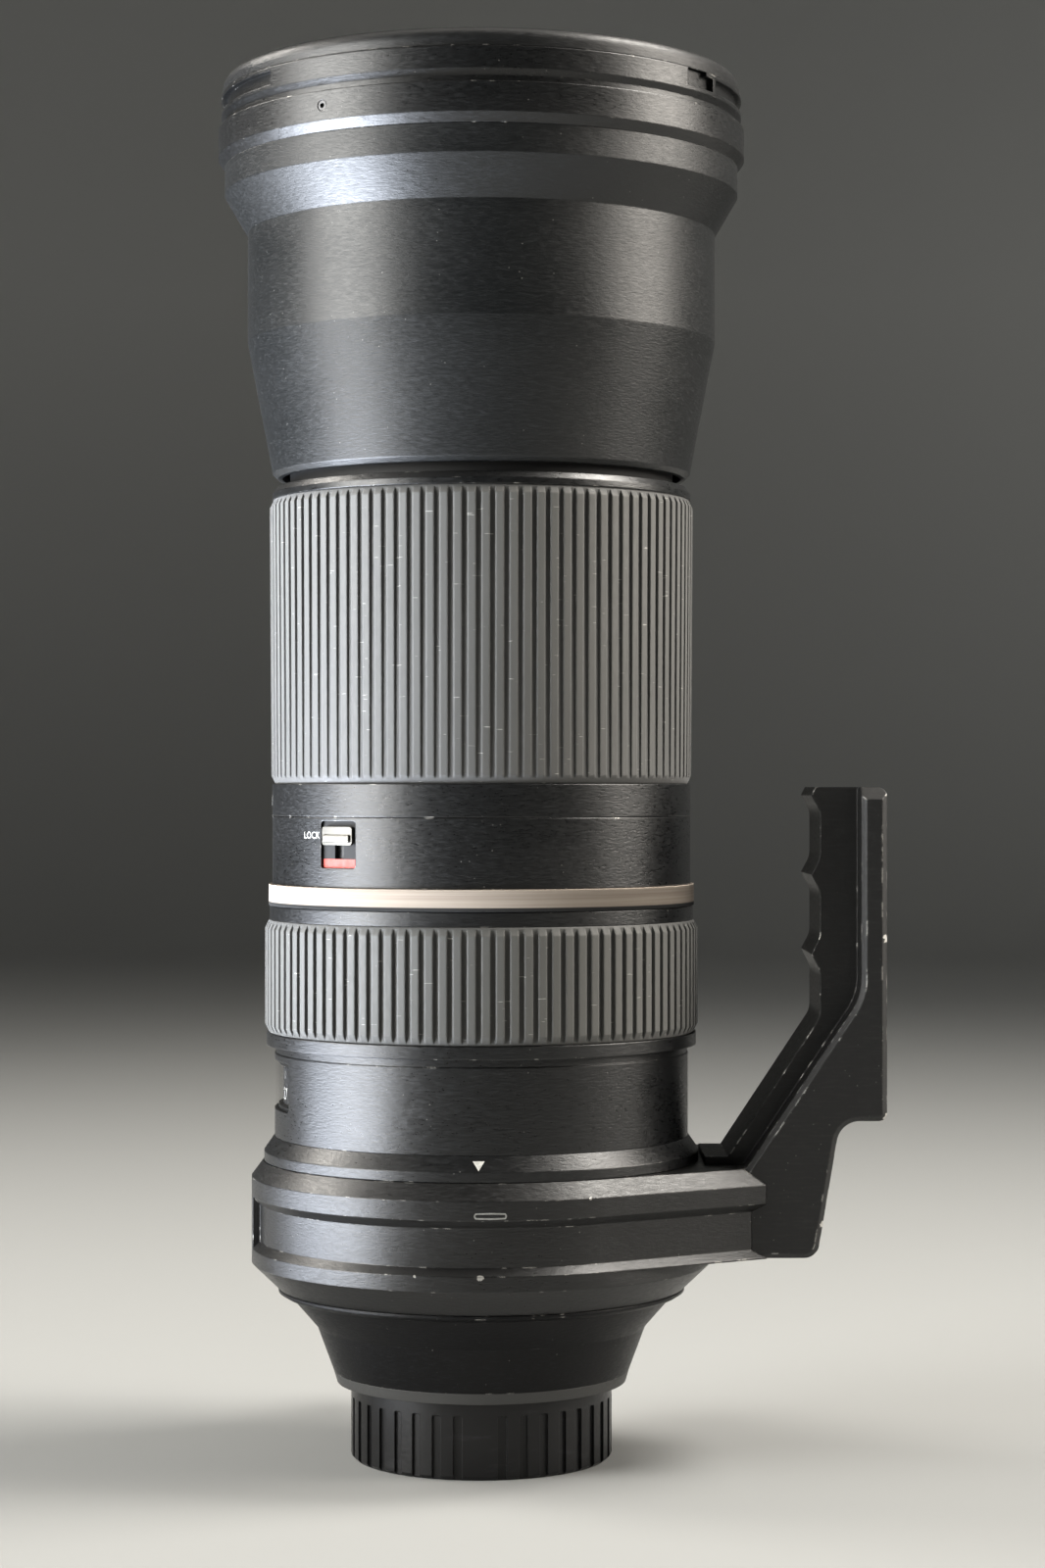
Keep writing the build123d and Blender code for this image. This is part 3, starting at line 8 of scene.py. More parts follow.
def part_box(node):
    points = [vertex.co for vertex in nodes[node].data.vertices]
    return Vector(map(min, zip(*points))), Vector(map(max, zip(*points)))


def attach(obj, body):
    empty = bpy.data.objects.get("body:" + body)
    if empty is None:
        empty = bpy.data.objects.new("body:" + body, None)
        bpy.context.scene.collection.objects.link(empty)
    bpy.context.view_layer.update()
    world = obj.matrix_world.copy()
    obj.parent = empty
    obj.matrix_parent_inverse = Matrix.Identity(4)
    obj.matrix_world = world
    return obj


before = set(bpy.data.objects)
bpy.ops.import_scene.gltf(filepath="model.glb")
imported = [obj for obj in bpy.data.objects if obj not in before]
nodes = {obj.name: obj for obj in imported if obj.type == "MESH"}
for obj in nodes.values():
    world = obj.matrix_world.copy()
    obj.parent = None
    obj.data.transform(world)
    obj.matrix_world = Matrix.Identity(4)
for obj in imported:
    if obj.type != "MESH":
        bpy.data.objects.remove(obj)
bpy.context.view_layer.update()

mm = 0.001


# Places on the lens, read from the frame
def low(node):
    """Corner of a node's box where X, Y and Z are smallest."""
    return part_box(node)[0]


def high(node):
    """Corner of a node's box where X, Y and Z are largest."""
    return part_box(node)[1]


index_top = high("index_ring").z
index_radius = high("index_ring").x
index_bevel_height = 2.9 * mm
index_bevel_run = 2.0 * mm
barrel_radius = high("main_barrel").x
rim_radius = -low("tripod_collar").x
collar_top = high("tripod_collar").z
silver_low = low("name_ring").z
drum_radius = high("scale_drum").x
drum_middle = (low("distance_window").z + high("distance_window").z) / 2
panel_middle = (low("switch_panel").z + high("switch_panel").z) / 2
panel_radius = high("switch_panel").y
plate_low = low("lock_plate").z
recess_floor = barrel_radius - 0.6 * mm
knob_middle = (low("zoom_lock").z + high("zoom_lock").z) / 2
band_low = low("zoom_ring").z

# Directions round the optical axis, in degrees from +X
near_side = -90.0
top_side = 180.0
switch_side = 90.0
lock_side = -130.5

# Knocks that have broken the coat: X, Y, Z and radius, in millimetres
foot_knocks = [(66.5, -19.2, 48.5, 0.7), (78.8, -19.0, 69.1, 0.9), (70.0, -19.5, 61.2, 0.5),
               (78.8, -19.3, 104.0, 0.7)]
collar_knocks = [(0.3, -rim_radius / mm, 42.1, 0.6), (-12.0, -44.1, 42.1, 0.3),
                 (21.0, -40.7, 56.2, 0.3)]


# Colours and nodes
def linear(code):
    """Linear colour of an sRGB hex value."""
    parts = [int(code[i:i + 2], 16) / 255 for i in (1, 3, 5)]
    return [c / 12.92 if c <= 0.04045 else ((c + 0.055) / 1.055) ** 2.4 for c in parts] + [1.0]


def add(tree, kind, *values, output=None, **settings):
    """Adds a node with its settings, fills its sockets in their order, and gives one output.

    A value that is a socket is linked, and None leaves a socket as it is. The output is the one
    named, or the first in use.
    """
    node = tree.nodes.new("ShaderNode" + kind)
    for name, value in settings.items():
        setattr(node, name, value)
    sockets = [socket for socket in node.inputs if socket.enabled]
    for socket, value in zip(sockets, values):
        if isinstance(value, bpy.types.NodeSocket):
            tree.links.new(value, socket)
        elif value is not None:
            socket.default_value = value
    if output:
        return node.outputs[output]
    return next(socket for socket in node.outputs if socket.enabled)


def new_material(name, base, roughness, metallic=0.0):
    """Material with its principled shader's plain values set."""
    material = bpy.data.materials.new(name)
    material.use_nodes = True
    shader = material.node_tree.nodes["Principled BSDF"]
    shader.inputs["Base Color"].default_value = linear(base)
    shader.inputs["Roughness"].default_value = roughness
    shader.inputs["Metallic"].default_value = metallic
    return material, material.node_tree, shader


def stretched(tree, width, height):
    """Object coordinates in which a feature this wide across the barrel and this high is a unit."""
    place = add(tree, "TexCoord", output="Object")
    return add(tree, "Mapping", place, None, None, (1 / width, 1 / width, 1 / height))


def mottle(tree, width, height, detail=3.0, roughness=0.55):
    """Random pattern whose features have a real width across the barrel and height along it."""
    return add(tree, "TexNoise", stretched(tree, width, height), 1.0, detail, roughness)


def layered(tree, base, *coats):
    """Colour with coats over it, each given as its mask and its sRGB hex value."""
    colour = linear(base)
    for mask, code in coats:
        colour = add(tree, "Mix", mask, colour, linear(code), data_type="RGBA")
    return colour


def worn_edges(tree, width, hold):
    """Mask of the outer edges that rubbing has laid bare: 1 where the metal shows.

    The higher the hold of the coat, the fewer the bare patches, which are about 3 mm long.
    """
    soft = add(tree, "Bevel", width, samples=6)
    hard = add(tree, "NewGeometry", output="Normal")
    turn = add(tree, "VectorMath", soft, hard, operation="DOT_PRODUCT")
    # an edge begins where rounding turns the surface by 10 degrees and is full at 26
    edge = add(tree, "MapRange", turn, 0.985, 0.90)
    patchy = add(tree, "MapRange", mottle(tree, 3.03 * mm, 3.03 * mm, 4.0), hold, hold + 0.06)
    return add(tree, "Math", edge, patchy, operation="MULTIPLY")


def chips(tree, knocks):
    """Mask of the ragged bare spots where knocks have broken the coat."""
    ragged = add(tree, "MapRange", mottle(tree, 0.7143 * mm, 0.7143 * mm), 0.3, 0.7, -0.5, 0.5)
    here = add(tree, "TexCoord", output="Object")
    spots = 0.0
    for *place, radius in knocks:
        centre = [mm * part for part in place]
        away = add(tree, "VectorMath", here, centre, operation="DISTANCE")
        reach = add(tree, "Math", away, mm * radius, operation="DIVIDE")
        reach = add(tree, "Math", reach, ragged, operation="ADD")
        spot = add(tree, "MapRange", reach, 1.0, 0.85)
        spots = add(tree, "Math", spots, spot, operation="MAXIMUM")
    return spots


def specks(tree, spacing, strength):
    """Mask of dust specks: round dots with a radius of a tenth of their spacing.

    About one place in four has a speck.
    """
    middle = add(tree, "TexVoronoi", stretched(tree, spacing, spacing), 1.0)
    dot = add(tree, "MapRange", middle, 0.1, 0.06)
    rare = add(tree, "MapRange", middle.node.outputs["Color"], 0.72, 0.74)
    mask = add(tree, "Math", dot, rare, operation="MULTIPLY")
    return add(tree, "Math", mask, strength, operation="MULTIPLY")


def radius_from_axis(tree):
    """Distance of each point from the optical axis."""
    place = add(tree, "TexCoord", output="Object")
    flat = add(tree, "VectorMath", place, (1, 1, 0), operation="MULTIPLY")
    return add(tree, "VectorMath", flat, operation="LENGTH")


def relief(tree, shader, pattern, depth, corner=None):
    """Gives a finish a relief of a real depth, and its sharp edges a small radius."""
    soft = add(tree, "Bevel", corner, samples=6) if corner else None
    # the bump's third socket, its filter width, stays as it is
    raised = add(tree, "Bump", 1.0, depth, None, pattern, soft)
    tree.links.new(raised, shader.inputs["Normal"])


# Finishes
dust_colour = "#a9a8a2"
# specks with a radius of 0.14 mm, larger than real dust so that they show
dust_spacing = 1.429 * mm


def black_anodised(name, base, roughness, shine, hold, knocks=()):
    """Black anodised aluminium, turned and bead-blasted: satin, with fine broken lines round it.

    The lines break up the long highlights, and knocks and rubbing leave bare metal on the edges.
    """
    material, tree, shader = new_material(name, base, roughness)
    # lines 0.4 mm apart and 1.6 mm long, coarser than the real turning so that they show
    lines = mottle(tree, 1.613 * mm, 0.4 * mm, 3.0, 0.7)
    broad = mottle(tree, 45.5 * mm, 16.67 * mm)
    worn = worn_edges(tree, 0.4 * mm, hold)
    if knocks:
        worn = add(tree, "Math", worn, chips(tree, knocks), operation="MAXIMUM")
    rubbing_and_highlight = add(tree, "MapRange", lines, 0.52, 0.8, 0.0, 0.25)
    colour = layered(tree, base, (rubbing_and_highlight, "#2f3336"), (specks(tree, dust_spacing, 0.3), dust_colour),
                     (worn, "#b9b7b1"))
    tree.links.new(colour, shader.inputs["Base Color"])
    bare = add(tree, "Math", worn, 0.7, operation="MULTIPLY")
    tree.links.new(bare, shader.inputs["Metallic"])
    gloss = add(tree, "MapRange", lines, 0.25, 0.8, roughness - 0.08, roughness + 0.12)
    # handling leaves broad patches that are a little duller
    drift = add(tree, "MapRange", broad, 0.35, 0.65, -0.03, 0.04)
    gloss = add(tree, "Math", gloss, drift, operation="ADD")
    tree.links.new(gloss, shader.inputs["Roughness"])
    shader.inputs["Specular IOR Level"].default_value = shine
    relief(tree, shader, lines, 0.06 * mm, 0.35 * mm)
    return material


def threaded(material, inside, pitch):
    """Adds a thread's fine ridges to the part of a finish that lies within a radius."""
    tree = material.node_tree
    normal = tree.nodes["Principled BSDF"].inputs["Normal"]
    place = add(tree, "TexCoord", output="Object")
    # a wave texture repeats every pi / 10 of its own units
    wave = add(tree, "TexWave", place, math.pi / 10 / pitch, output="Fac", bands_direction="Z")
    within = add(tree, "MapRange", radius_from_axis(tree), inside, inside - 0.1 * mm)
    ridges = add(tree, "Math", wave, within, operation="MULTIPLY")
    under = normal.links[0].from_socket
    tree.links.new(add(tree, "Bump", 1.0, 0.3 * mm, None, ridges, under), normal)
    return material


def coated_casting(name, base):
    """Aluminium casting under a hard matte black coat, with worn corners and a few knocks.

    The blasted skin scatters the light, so its highlights are broad and grainy.
    """
    material, tree, shader = new_material(name, base, 0.5)
    # grit of 0.67 mm and streaks of 3.8 mm, coarser than the real ones so that they show
    grit = mottle(tree, 0.6667 * mm, 0.6667 * mm)
    streaks = mottle(tree, 3.846 * mm, 0.5556 * mm)
    worn = add(tree, "Math", worn_edges(tree, 0.6 * mm, 0.56), chips(tree, foot_knocks),
               operation="MAXIMUM")
    paler = add(tree, "MapRange", streaks, 0.5, 0.8, 0.0, 0.3)
    colour = layered(tree, base, (paler, "#333332"), (specks(tree, dust_spacing, 0.2), dust_colour),
                     (worn, "#c2c0bb"))
    tree.links.new(colour, shader.inputs["Base Color"])
    bare = add(tree, "Math", worn, 0.7, operation="MULTIPLY")
    tree.links.new(bare, shader.inputs["Metallic"])
    gloss = add(tree, "MapRange", grit, 0.3, 0.7, 0.40, 0.55)
    tree.links.new(gloss, shader.inputs["Roughness"])
    relief(tree, shader, grit, 0.02 * mm, 0.5 * mm)
    return material


def dusty_rubber(grip, rib_height, dark, pale, rib_top_highlight):
    """Moulded grip rubber: matte, greyed by dust, with a painted highlight that makes the rib tops
    paler, and a few hairs of lint.
    """
    material, tree, shader = new_material("grip rubber " + grip, dark, 0.62)
    tops = high(grip).x
    # the rib tops are painted paler in the last colour: a painted highlight where the ribs catch the
    # light
    proud = add(tree, "MapRange", radius_from_axis(tree), tops - rib_height, tops - 0.1 * rib_height)
    rubbing_and_highlight = add(tree, "Math", proud, 0.6, operation="MULTIPLY")
    # the bloom of dust lies in clouds 17 mm wide and 40 mm high
    bloom = add(tree, "MapRange", mottle(tree, 16.67 * mm, 40 * mm, 4.0, 0.6), 0.3, 0.75)
    # hairs 3.3 mm long and 0.3 mm thick, thicker than real ones so that they show
    hairs = mottle(tree, 3.333 * mm, 0.3125 * mm, 2.0, 0.4)
    lint = add(tree, "MapRange", hairs, 0.73, 0.76, 0.0, 0.6)
    colour = layered(tree, dark, (bloom, pale), (rubbing_and_highlight, rib_top_highlight), (lint, "#c5c4be"))
    tree.links.new(colour, shader.inputs["Base Color"])
    # the mould's skin, coarser than the real one so that it shows
    skin = mottle(tree, 0.5556 * mm, 2 * mm, 2.0)
    tree.links.new(add(tree, "MapRange", skin, 0.3, 0.7, 0.52, 0.70), shader.inputs["Roughness"])
    shader.inputs["Sheen Weight"].default_value = 0.15
    # the moulded ribs are well rounded
    relief(tree, shader, skin, 0.015 * mm, 0.55 * mm)
    return material


def brushed_silver(name, base):
    """Warm silver anodised aluminium, brushed round: long fine lines and a soft metal shine."""
    material, tree, shader = new_material(name, base, 0.6, 1.0)
    # lines 0.38 mm apart and 71 mm long, coarser than the real brushing so that they show
    lines = mottle(tree, 71.4 * mm, 0.3846 * mm, 4.0, 0.7)
    silver = layered(tree, base, (add(tree, "MapRange", lines, 0.35, 0.7), "#c8beb3"))
    # the ring's lowest edge stays black
    height = add(tree, "SeparateXYZ", add(tree, "TexCoord", output="Object"), output="Z")
    bare = add(tree, "MapRange", height, silver_low + 0.7 * mm, silver_low + 0.8 * mm)
    colour = add(tree, "Mix", bare, linear("#0a0b0c"), silver, data_type="RGBA")
    tree.links.new(colour, shader.inputs["Base Color"])
    tree.links.new(bare, shader.inputs["Metallic"])
    tree.links.new(add(tree, "MapRange", lines, 0.3, 0.7, 0.54, 0.64), shader.inputs["Roughness"])
    # the brushing spreads the light up and down, so the near side picks up the light overhead
    round_axis = add(tree, "Tangent", direction_type="RADIAL", axis="Z")
    tree.links.new(round_axis, shader.inputs["Tangent"])
    shader.inputs["Anisotropic"].default_value = 0.9
    relief(tree, shader, lines, 0.01 * mm, 0.3 * mm)
    return material


def moulded_plastic(name, base, roughness, grain_height):
    """Moulded plastic: even colour, a fine mould grain and small scuffs."""
    material, tree, shader = new_material(name, base, roughness)
    # grain of 0.6 mm, coarser than the mould's own so that it shows, and scuffs of 11 mm
    grain = mottle(tree, 0.625 * mm, 0.625 * mm, 2.0)
    scuffs = add(tree, "MapRange", mottle(tree, 11.11 * mm, 2 * mm, 4.0), 0.6, 0.85, 0.0, 0.25)
    tree.links.new(layered(tree, base, (scuffs, "#55555a")), shader.inputs["Base Color"])
    gloss = add(tree, "MapRange", grain, 0.3, 0.7, roughness - 0.05, roughness + 0.06)
    tree.links.new(gloss, shader.inputs["Roughness"])
    shader.inputs["Specular IOR Level"].default_value = 0.35
    relief(tree, shader, grain, grain_height, 0.25 * mm)
    return material


def machined_metal(name, base, roughness):
    """Machined metal: fine tool lines that break up its shine."""
    material, tree, shader = new_material(name, base, roughness, 1.0)
    # lines 0.6 mm apart and 8 mm long, coarser than the tool's own so that they show
    lines = mottle(tree, 8.333 * mm, 0.625 * mm)
    gloss = add(tree, "MapRange", lines, 0.3, 0.7, roughness - 0.06, roughness + 0.08)
    tree.links.new(gloss, shader.inputs["Roughness"])
    relief(tree, shader, lines, 0.008 * mm, 0.15 * mm)
    return material


def flat_black(name, base):
    """Flat black anodising of the lens's inside, which swallows reflections."""
    material, tree, shader = new_material(name, base, 0.7)
    # grain of 0.7 mm, coarser than the real blasting so that it shows
    relief(tree, shader, mottle(tree, 0.7143 * mm, 0.7143 * mm, 2.0), 0.02 * mm)
    return material


def coated_glass(name, tint):
    """Optical glass with an antireflection coat: clear and dark, with a green and violet shine.

    The coat is thicker than the real one, so that its colours show.
    """
    material, tree, shader = new_material(name, tint, 0.0)
    shader.inputs["Transmission Weight"].default_value = 1.0
    shader.inputs["IOR"].default_value = 1.46
    coat_nanometres = 480.0
    shader.inputs["Thin Film Thickness"].default_value = coat_nanometres
    shader.inputs["Thin Film IOR"].default_value = 1.38
    # each speck of dust, with a radius of 0.33 mm, is a dull spot
    tree.links.new(specks(tree, 3.333 * mm, 0.5), shader.inputs["Roughness"])
    return material


def window_pane(name, tint):
    """Smoked polycarbonate window: shows the scale under a thin gloss with hairline scratches."""
    material, tree, shader = new_material(name, tint, 0.08)
    shader.inputs["IOR"].default_value = 1.35
    shader.inputs["Alpha"].default_value = 0.08
    # scratches 0.4 mm apart and 3.3 mm long, coarser than real ones so that they show
    scratches = mottle(tree, 3.333 * mm, 0.4 * mm)
    gloss = add(tree, "MapRange", scratches, 0.6, 0.75, 0.05, 0.2)
    tree.links.new(gloss, shader.inputs["Roughness"])
    return material


def printed(name, code):
    """Screen-printed enamel: flat and opaque, worn thin in spots about 1 mm wide."""
    material, tree, shader = new_material(name, code, 0.5)
    thin = add(tree, "MapRange", mottle(tree, 1.111 * mm, 1.111 * mm), 0.35, 0.75, 0.0, 0.45)
    tree.links.new(layered(tree, code, (thin, "#6d6c68")), shader.inputs["Base Color"])
    return material


# Anodised shells: the rear housing is the dullest, and the collar's edges are the most worn
barrel_black = black_anodised("black anodised barrel", "#0f1112", 0.38, 0.55, 0.66)
ring_black = black_anodised("black anodised rings", "#0a0b0c", 0.32, 0.6, 0.62)
rear_black = black_anodised("black anodised rear housing", "#0b0b0c", 0.38, 0.2, 0.62)
collar_black = black_anodised("black anodised collar", "#0b0b0b", 0.34, 0.6, 0.58, collar_knocks)
thread_radius = high("filter_ring").x - 3.7 * mm
thread_pitch = 0.75 * mm
thread_black = threaded(
    black_anodised("black anodised filter ring", "#141516", 0.38, 0.6, 0.60),
    thread_radius, thread_pitch)
inner_black = flat_black("flat black inside", "#0c0c0c")
# Metals: dark with a dull shine, pale with a sharper one, a soft grey shine, and yellow
steel = machined_metal("blackened steel", "#4a4a4b", 0.35)
bright_steel = machined_metal("bare steel", "#a9a9a7", 0.3)
slide_metal = machined_metal("satin aluminium slide", "#6a6863", 0.42)
brass = machined_metal("turned brass", "#b58f4a", 0.35)
# Enamels of the printed marks
white_paint = printed("white printed enamel", "#d9d8d2")
grey_paint = printed("grey printed enamel", "#8f8f8b")
red_paint = printed("red printed enamel", "#c23a2b")

finishes = {
    barrel_black: ["front_barrel"],
    ring_black: ["rear_barrel", "index_ring", "focus_ring", "zoom_ring", "main_barrel", "hood_ring"],
    rear_black: ["rear_housing", "collar_retainer"],
    thread_black: ["filter_ring"],
    collar_black: ["tripod_collar"],
    coated_casting("black coated casting", "#131313"): ["tripod_foot"],
    # the last colour of each grip is the painted highlight on its rib tops
    dusty_rubber("zoom_grip", 0.6 * mm, "#434342", "#525251", "#666663"): ["zoom_grip"],
    dusty_rubber("focus_grip", 0.65 * mm, "#474745", "#4a4a48", "#5a5a57"): ["focus_grip"],
    brushed_silver("silver anodised ring", "#a69a8f"): ["name_ring"],
    # the cap is the glossiest plastic, the switches are satin and the seal is dull
    moulded_plastic("black ABS cap", "#0d0d0e", 0.33, 0.01 * mm): ["rear_cap"],
    moulded_plastic("black ABS switches", "#161617", 0.42, 0.015 * mm): [
        "switch_panel", "collar_knob", "focus_mode_switch", "focus_limit_switch",
        "stabiliser_switch", "contact_block", "stabiliser_frame"],
    moulded_plastic("grey nylon seal", "#3e3e3d", 0.5, 0.01 * mm): ["mount_seal"],
    # the pressed board is green under a smooth lacquer
    moulded_plastic("green glass-epoxy laminate", "#1d5a35", 0.45, 0.005 * mm): ["circuit_board"],
    inner_black: ["front_bezel", "rear_baffle", "rear_cell", "guide_tube", "stabiliser_base",
                  "iris_housing", "cam_tube", "extension_tube", "front_cell", "zoom_cell",
                  "focus_cell", "focus_cam", "scale_drum", "lock_plate"],
    # the platings have the sharpest reflections, one nearly white and one yellow
    machined_metal("chromed brass mount", "#c9c9c8", 0.18): ["lens_mount"],
    machined_metal("gold-plated contacts", "#d9b45c", 0.22): ["contact_pins"],
    slide_metal: ["zoom_lock"],
    steel: ["hood_ring_screws", "foot_screws", "iris_blades", "focus_keys", "zoom_keys"],
    bright_steel: ["mount_screws", "thread_inserts", "motor_stator", "motor_rotor"],
    brass: ["focus_rollers", "zoom_rollers", "extension_rollers"],
    coated_glass("coated optical glass", "#f2f6f5"): [
        "rear_elements", "focus_elements", "zoom_elements", "front_elements", "stabiliser_element"],
    window_pane("smoked polycarbonate window", "#0d0f10"): ["distance_window"],
}
for material, names in finishes.items():
    for name in names:
        nodes[name].data.materials.clear()
        nodes[name].data.materials.append(material)


# Printed and raised marks, made flat and then laid round the barrel
paint_depth = 0.06 * mm


def laid(name, shape, material, body, azimuth, level, radius, lean=0.0):
    """Lays a flat shape round the barrel: its X runs round, its Y up and its Z outwards.

    Lean is how much the radius falls per metre up.
    """
    for vertex in shape.verts:
        along, up, out = vertex.co
        reach = radius - lean * up + out
        turn = math.radians(azimuth) + along / radius
        vertex.co = (reach * math.cos(turn), reach * math.sin(turn), level + up)
    bmesh.ops.recalc_face_normals(shape, faces=shape.faces)
    mesh = bpy.data.meshes.new(name)
    shape.to_mesh(mesh)
    shape.free()
    mesh.materials.append(material)
    piece = bpy.data.objects.new(name, mesh)
    bpy.context.collection.objects.link(piece)
    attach(piece, body)


def painted(shape):
    """Gives flat faces the thickness of paint, half of it under the surface."""
    bmesh.ops.triangulate(shape, faces=shape.faces)
    grown = bmesh.ops.extrude_face_region(shape, geom=shape.faces)
    raised = [item for item in grown["geom"] if isinstance(item, bmesh.types.BMVert)]
    bmesh.ops.translate(shape, verts=raised, vec=(0, 0, paint_depth))
    bmesh.ops.translate(shape, verts=shape.verts, vec=(0, 0, -paint_depth / 2))
    return shape


def lettering(text, size, spacing=1.0):
    """Painted letters round the middle of their line."""
    curve = bpy.data.curves.new(text, "FONT")
    curve.body = text
    curve.size = size
    curve.space_character = spacing
    curve.align_x = "CENTER"
    curve.align_y = "CENTER"
    # few points on each curve, which are enough for letters this small
    curve.resolution_u = 3
    holder = bpy.data.objects.new(text, curve)
    bpy.context.collection.objects.link(holder)
    bpy.context.view_layer.update()
    shape = bmesh.new()
    shape.from_mesh(bpy.data.meshes.new_from_object(holder))
    bpy.data.objects.remove(holder)
    bmesh.ops.remove_doubles(shape, verts=shape.verts, dist=0.001 * mm)
    return painted(shape)


def bar(width, height):
    """Painted bar, cut into strips so that it follows the barrel."""
    shape = bmesh.new()
    bmesh.ops.create_grid(shape, x_segments=6, y_segments=1, size=0.5)
    bmesh.ops.scale(shape, verts=shape.verts, vec=(width, height, 1))
    return painted(shape)


def arrow(width, height):
    """Painted triangle that points down."""
    shape = bmesh.new()
    bmesh.ops.create_circle(shape, cap_ends=True, segments=3, radius=1)
    half_turn = Matrix.Rotation(math.pi, 3, "Z")
    bmesh.ops.rotate(shape, verts=shape.verts, cent=(0, 0, 0), matrix=half_turn)
    # a triangle in a circle of radius 1 is the root of 3 wide and 1.5 high
    bmesh.ops.scale(shape, verts=shape.verts, vec=(width / math.sqrt(3), height / 1.5, 1))
    return painted(shape)


def oval(width, height, line):
    """Painted outline with straight sides and round ends."""
    shape = bmesh.new()
    bmesh.ops.create_circle(shape, cap_ends=True, segments=12, radius=height / 2)
    # the circle's halves move apart, and its two points on the middle line stay
    for vertex in shape.verts:
        if abs(vertex.co.x) > 0.01 * height:
            vertex.co.x += math.copysign((width - height) / 2, vertex.co.x)
    middle = list(shape.faces)
    bmesh.ops.inset_individual(shape, faces=middle, thickness=line)
    bmesh.ops.delete(shape, geom=middle, context="FACES_ONLY")
    return painted(shape)


def ridge(width, height, rise):
    """Bar with bevelled edges."""
    shape = bmesh.new()
    bmesh.ops.create_cube(shape, size=1)
    bmesh.ops.scale(shape, verts=shape.verts, vec=(width, height, rise))
    bmesh.ops.bevel(shape, geom=shape.edges, affect="EDGES", offset=0.3 * rise, segments=3,
                    profile=0.5, material=-1)
    return shape


def collar_marks():
    """Index arrow on the ring in front of the collar, and an oval on each side of its rim."""
    laid("index_arrow", arrow(2.3 * mm, 1.7 * mm), white_paint, "barrel", near_side,
         index_top - index_bevel_height / 2, index_radius - index_bevel_run / 2,
         index_bevel_run / index_bevel_height)
    oval_level = collar_top - 5.8 * mm
    for side, azimuth in (("near", near_side + 2.8), ("far", switch_side + 2.5)):
        laid("collar_mark_" + side, oval(6.2 * mm, 1.3 * mm, 0.3 * mm), grey_paint,
             "tripod_collar", azimuth, oval_level, rim_radius)


def lock_marks():
    """Label beside the zoom lock, the red field below it and the ridge that the thumb pushes."""
    label_side = lock_side - 10.2
    laid("lock_label", lettering("LOCK", 1.9 * mm, 1.05), white_paint, "barrel", label_side,
         knob_middle, barrel_radius)
    # the field ends where the slot of the slide's stem begins
    field_middle = plate_low + 0.9 * mm
    laid("lock_field", bar(8.6 * mm, 1.7 * mm), red_paint, "barrel", lock_side, field_middle,
         recess_floor)
    ridge_middle = knob_middle - 0.5 * mm
    ridge_radius = barrel_radius + 0.3 * mm
    laid("lock_ridge", ridge(7.0 * mm, 1.5 * mm, 0.9 * mm), slide_metal, "zoom_lock", lock_side,
         ridge_middle, ridge_radius)


def zoom_scale():
    """Focal lengths on the zoom ring, and the fixed line that points at the one in use."""
    step = 15.0
    number_level = band_low + 3.1 * mm
    line_level = band_low - 2.0 * mm
    for place, length in enumerate((150, 200, 300, 400, 500, 600)):
        laid("zoom_number_%d" % length, lettering(str(length), 3.2 * mm), white_paint,
             "zoom_ring", top_side - step * place, number_level, barrel_radius)
    laid("zoom_index", bar(0.5 * mm, 3.4 * mm), white_paint, "barrel", top_side, line_level,
         barrel_radius)


def distance_scale():
    """Distances in metres on the drum behind the window, each with a tick above it."""
    first = top_side + 12.0
    step = 16.0
    rise = 1.9 * mm
    for place, metres in enumerate(("2.7", "3", "4", "5", "7", "10", "20")):
        azimuth = first - step * place
        laid("metres_%d" % place, lettering(metres, 3.4 * mm), white_paint, "focus_ring",
             azimuth, drum_middle - rise, drum_radius)
        laid("tick_%d" % place, bar(0.5 * mm, 1.5 * mm), grey_paint, "focus_ring", azimuth,
             drum_middle + rise, drum_radius)


def switch_labels():
    """Words beside the three switches, clear of the levers' travel."""
    switch_step = 17.5
    row_height = 2.4 * mm
    margin = 2.6 * mm
    switches = (("AF", "MF"), ("FULL", "LIMIT"), ("ON", "OFF"))
    for place, words in enumerate(switches, start=-1):
        for row, word in zip((1, -1), words):
            letters = lettering(word, 1.5 * mm)
            half = max(vertex.co.x for vertex in letters.verts)
            beside = math.degrees((margin + half) / panel_radius)
            laid("label_" + word.lower(), letters, white_paint, "barrel",
                 switch_side + switch_step * place + beside, panel_middle + row_height * row,
                 panel_radius)


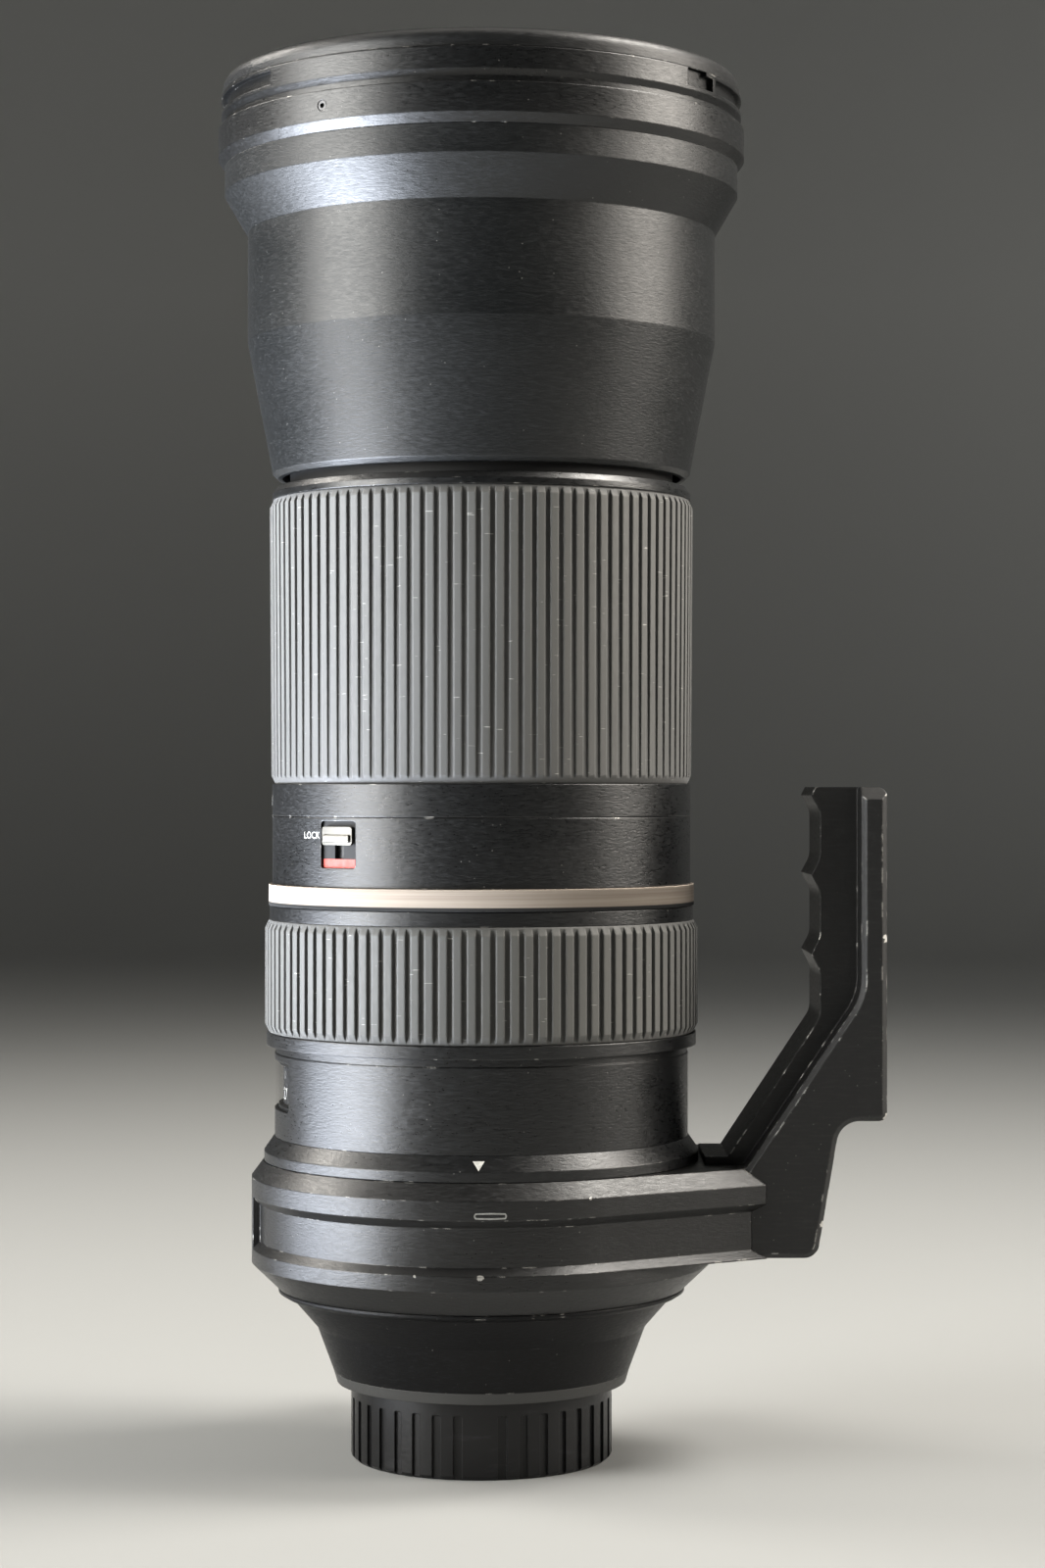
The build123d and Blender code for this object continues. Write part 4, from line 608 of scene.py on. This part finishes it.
# Studio
def stage():
    """Round pale floor whose rim curves up into a wall, so that every side has the same backdrop."""
    floor_radius = 1.9
    curve_radius = 0.6
    wall_height = 2.4
    steps = 12
    floor_grey = "#9fa09f"
    # paler up the wall, which stands far from the lamps
    wall_grey = "#dcdddc"
    shape = bmesh.new()
    bmesh.ops.create_circle(shape, cap_ends=True, segments=128, radius=floor_radius)
    rim = list(shape.edges)

    def widened(edges, outward, upward):
        """Grows the rim outwards and upwards, and gives the new rim."""
        grown = bmesh.ops.extrude_edge_only(shape, edges=edges)["geom"]
        points = [item for item in grown if isinstance(item, bmesh.types.BMVert)]
        stretch = 1 + outward / math.hypot(points[0].co.x, points[0].co.y)
        bmesh.ops.scale(shape, verts=points, vec=(stretch, stretch, 1))
        bmesh.ops.translate(shape, verts=points, vec=(0, 0, upward))
        return [item for item in grown if isinstance(item, bmesh.types.BMEdge)]

    for step in range(steps):
        start = math.pi / 2 * step / steps
        stop = math.pi / 2 * (step + 1) / steps
        rim = widened(rim, curve_radius * (math.sin(stop) - math.sin(start)),
                      curve_radius * (math.cos(start) - math.cos(stop)))
    widened(rim, 0, wall_height)
    bmesh.ops.recalc_face_normals(shape, faces=shape.faces)
    mesh = bpy.data.meshes.new("backdrop")
    shape.to_mesh(mesh)
    shape.free()
    mesh.shade_smooth()
    # matte wall paint, whose only change of colour is the slow one from the floor to the wall
    material, tree, shader = new_material("painted studio backdrop", floor_grey, 0.85)
    height = add(tree, "SeparateXYZ", add(tree, "TexCoord", output="Object"), output="Z")
    climb = add(tree, "MapRange", height, 0.0, curve_radius)
    tree.links.new(layered(tree, floor_grey, (climb, wall_grey)), shader.inputs["Base Color"])
    mesh.materials.append(material)
    backdrop = bpy.data.objects.new("backdrop", mesh)
    bpy.context.collection.objects.link(backdrop)


def softbox(name, place, aim, size, power, code, spread=180):
    """Rectangular soft light that faces a point and that the camera doesn't see.

    The size is its width and height, and the spread is the angle that its grid lets through.
    """
    lamp = bpy.data.lights.new(name, "AREA")
    lamp.shape = "RECTANGLE"
    lamp.size, lamp.size_y = size
    lamp.energy = power
    lamp.color = linear(code)[:3]
    lamp.spread = math.radians(spread)
    holder = bpy.data.objects.new(name, lamp)
    holder.location = place
    holder.rotation_euler = (Vector(aim) - Vector(place)).to_track_quat("-Z", "Y").to_euler()
    holder.visible_camera = False
    bpy.context.collection.objects.link(holder)


def studio():
    """Broad softboxes on the left, right and overhead, in a faint even light from all round.

    Two high ones light the bevels, and a small one low on the left lights the flare.
    """
    warm_white = "#fffaf2"
    softbox("left_box", place=(-1.0, -0.45, 0.36), aim=(0, 0, 0.16), size=(0.75, 0.66),
            power=5.6, code="#fffefa", spread=90)
    softbox("right_box", place=(1.1, -0.1, 0.58), aim=(0, 0, 0.18), size=(0.6, 0.7),
            power=4, code="#fff8ee", spread=90)
    softbox("top_box", place=(0.05, 0.1, 1.25), aim=(0.05, 0, 0), size=(2.8, 0.8),
            power=6, code=warm_white)
    softbox("high_left_box", place=(-0.95, 0.32, 0.9), aim=(0, 0, 0.06), size=(0.5, 0.4),
            power=3, code=warm_white, spread=100)
    softbox("high_right_box", place=(0.75, 0.07, 1.12), aim=(0, 0, 0.06), size=(0.5, 0.4),
            power=4.8, code=warm_white, spread=100)
    softbox("low_box", place=(-0.18, -0.04, 0.012), aim=(0, 0, 0.25), size=(0.2, 0.26),
            power=2.6, code="#e9f1ff", spread=110)
    world = bpy.data.worlds.new("studio")
    world.use_nodes = True
    background = world.node_tree.nodes["Background"]
    background.inputs["Color"].default_value = linear("#bcbcba")
    background.inputs["Strength"].default_value = 0.12
    bpy.context.scene.world = world


def camera():
    """The photograph's view: level, a little right of the optical axis."""
    right = 0.0082
    distance = 0.657
    height = 0.134
    data = bpy.data.cameras.new("camera")
    data.lens = 75.4
    data.sensor_width = 36
    data.clip_start = 0.01
    eye = bpy.data.objects.new("camera", data)
    eye.location = (right, -distance, height)
    eye.rotation_euler = (math.pi / 2, 0, 0)
    bpy.context.collection.objects.link(eye)
    bpy.context.scene.camera = eye


collar_marks()
lock_marks()
zoom_scale()
distance_scale()
switch_labels()
stage()
studio()
camera()
# Colours come out as they are written
bpy.context.scene.view_settings.view_transform = "Standard"
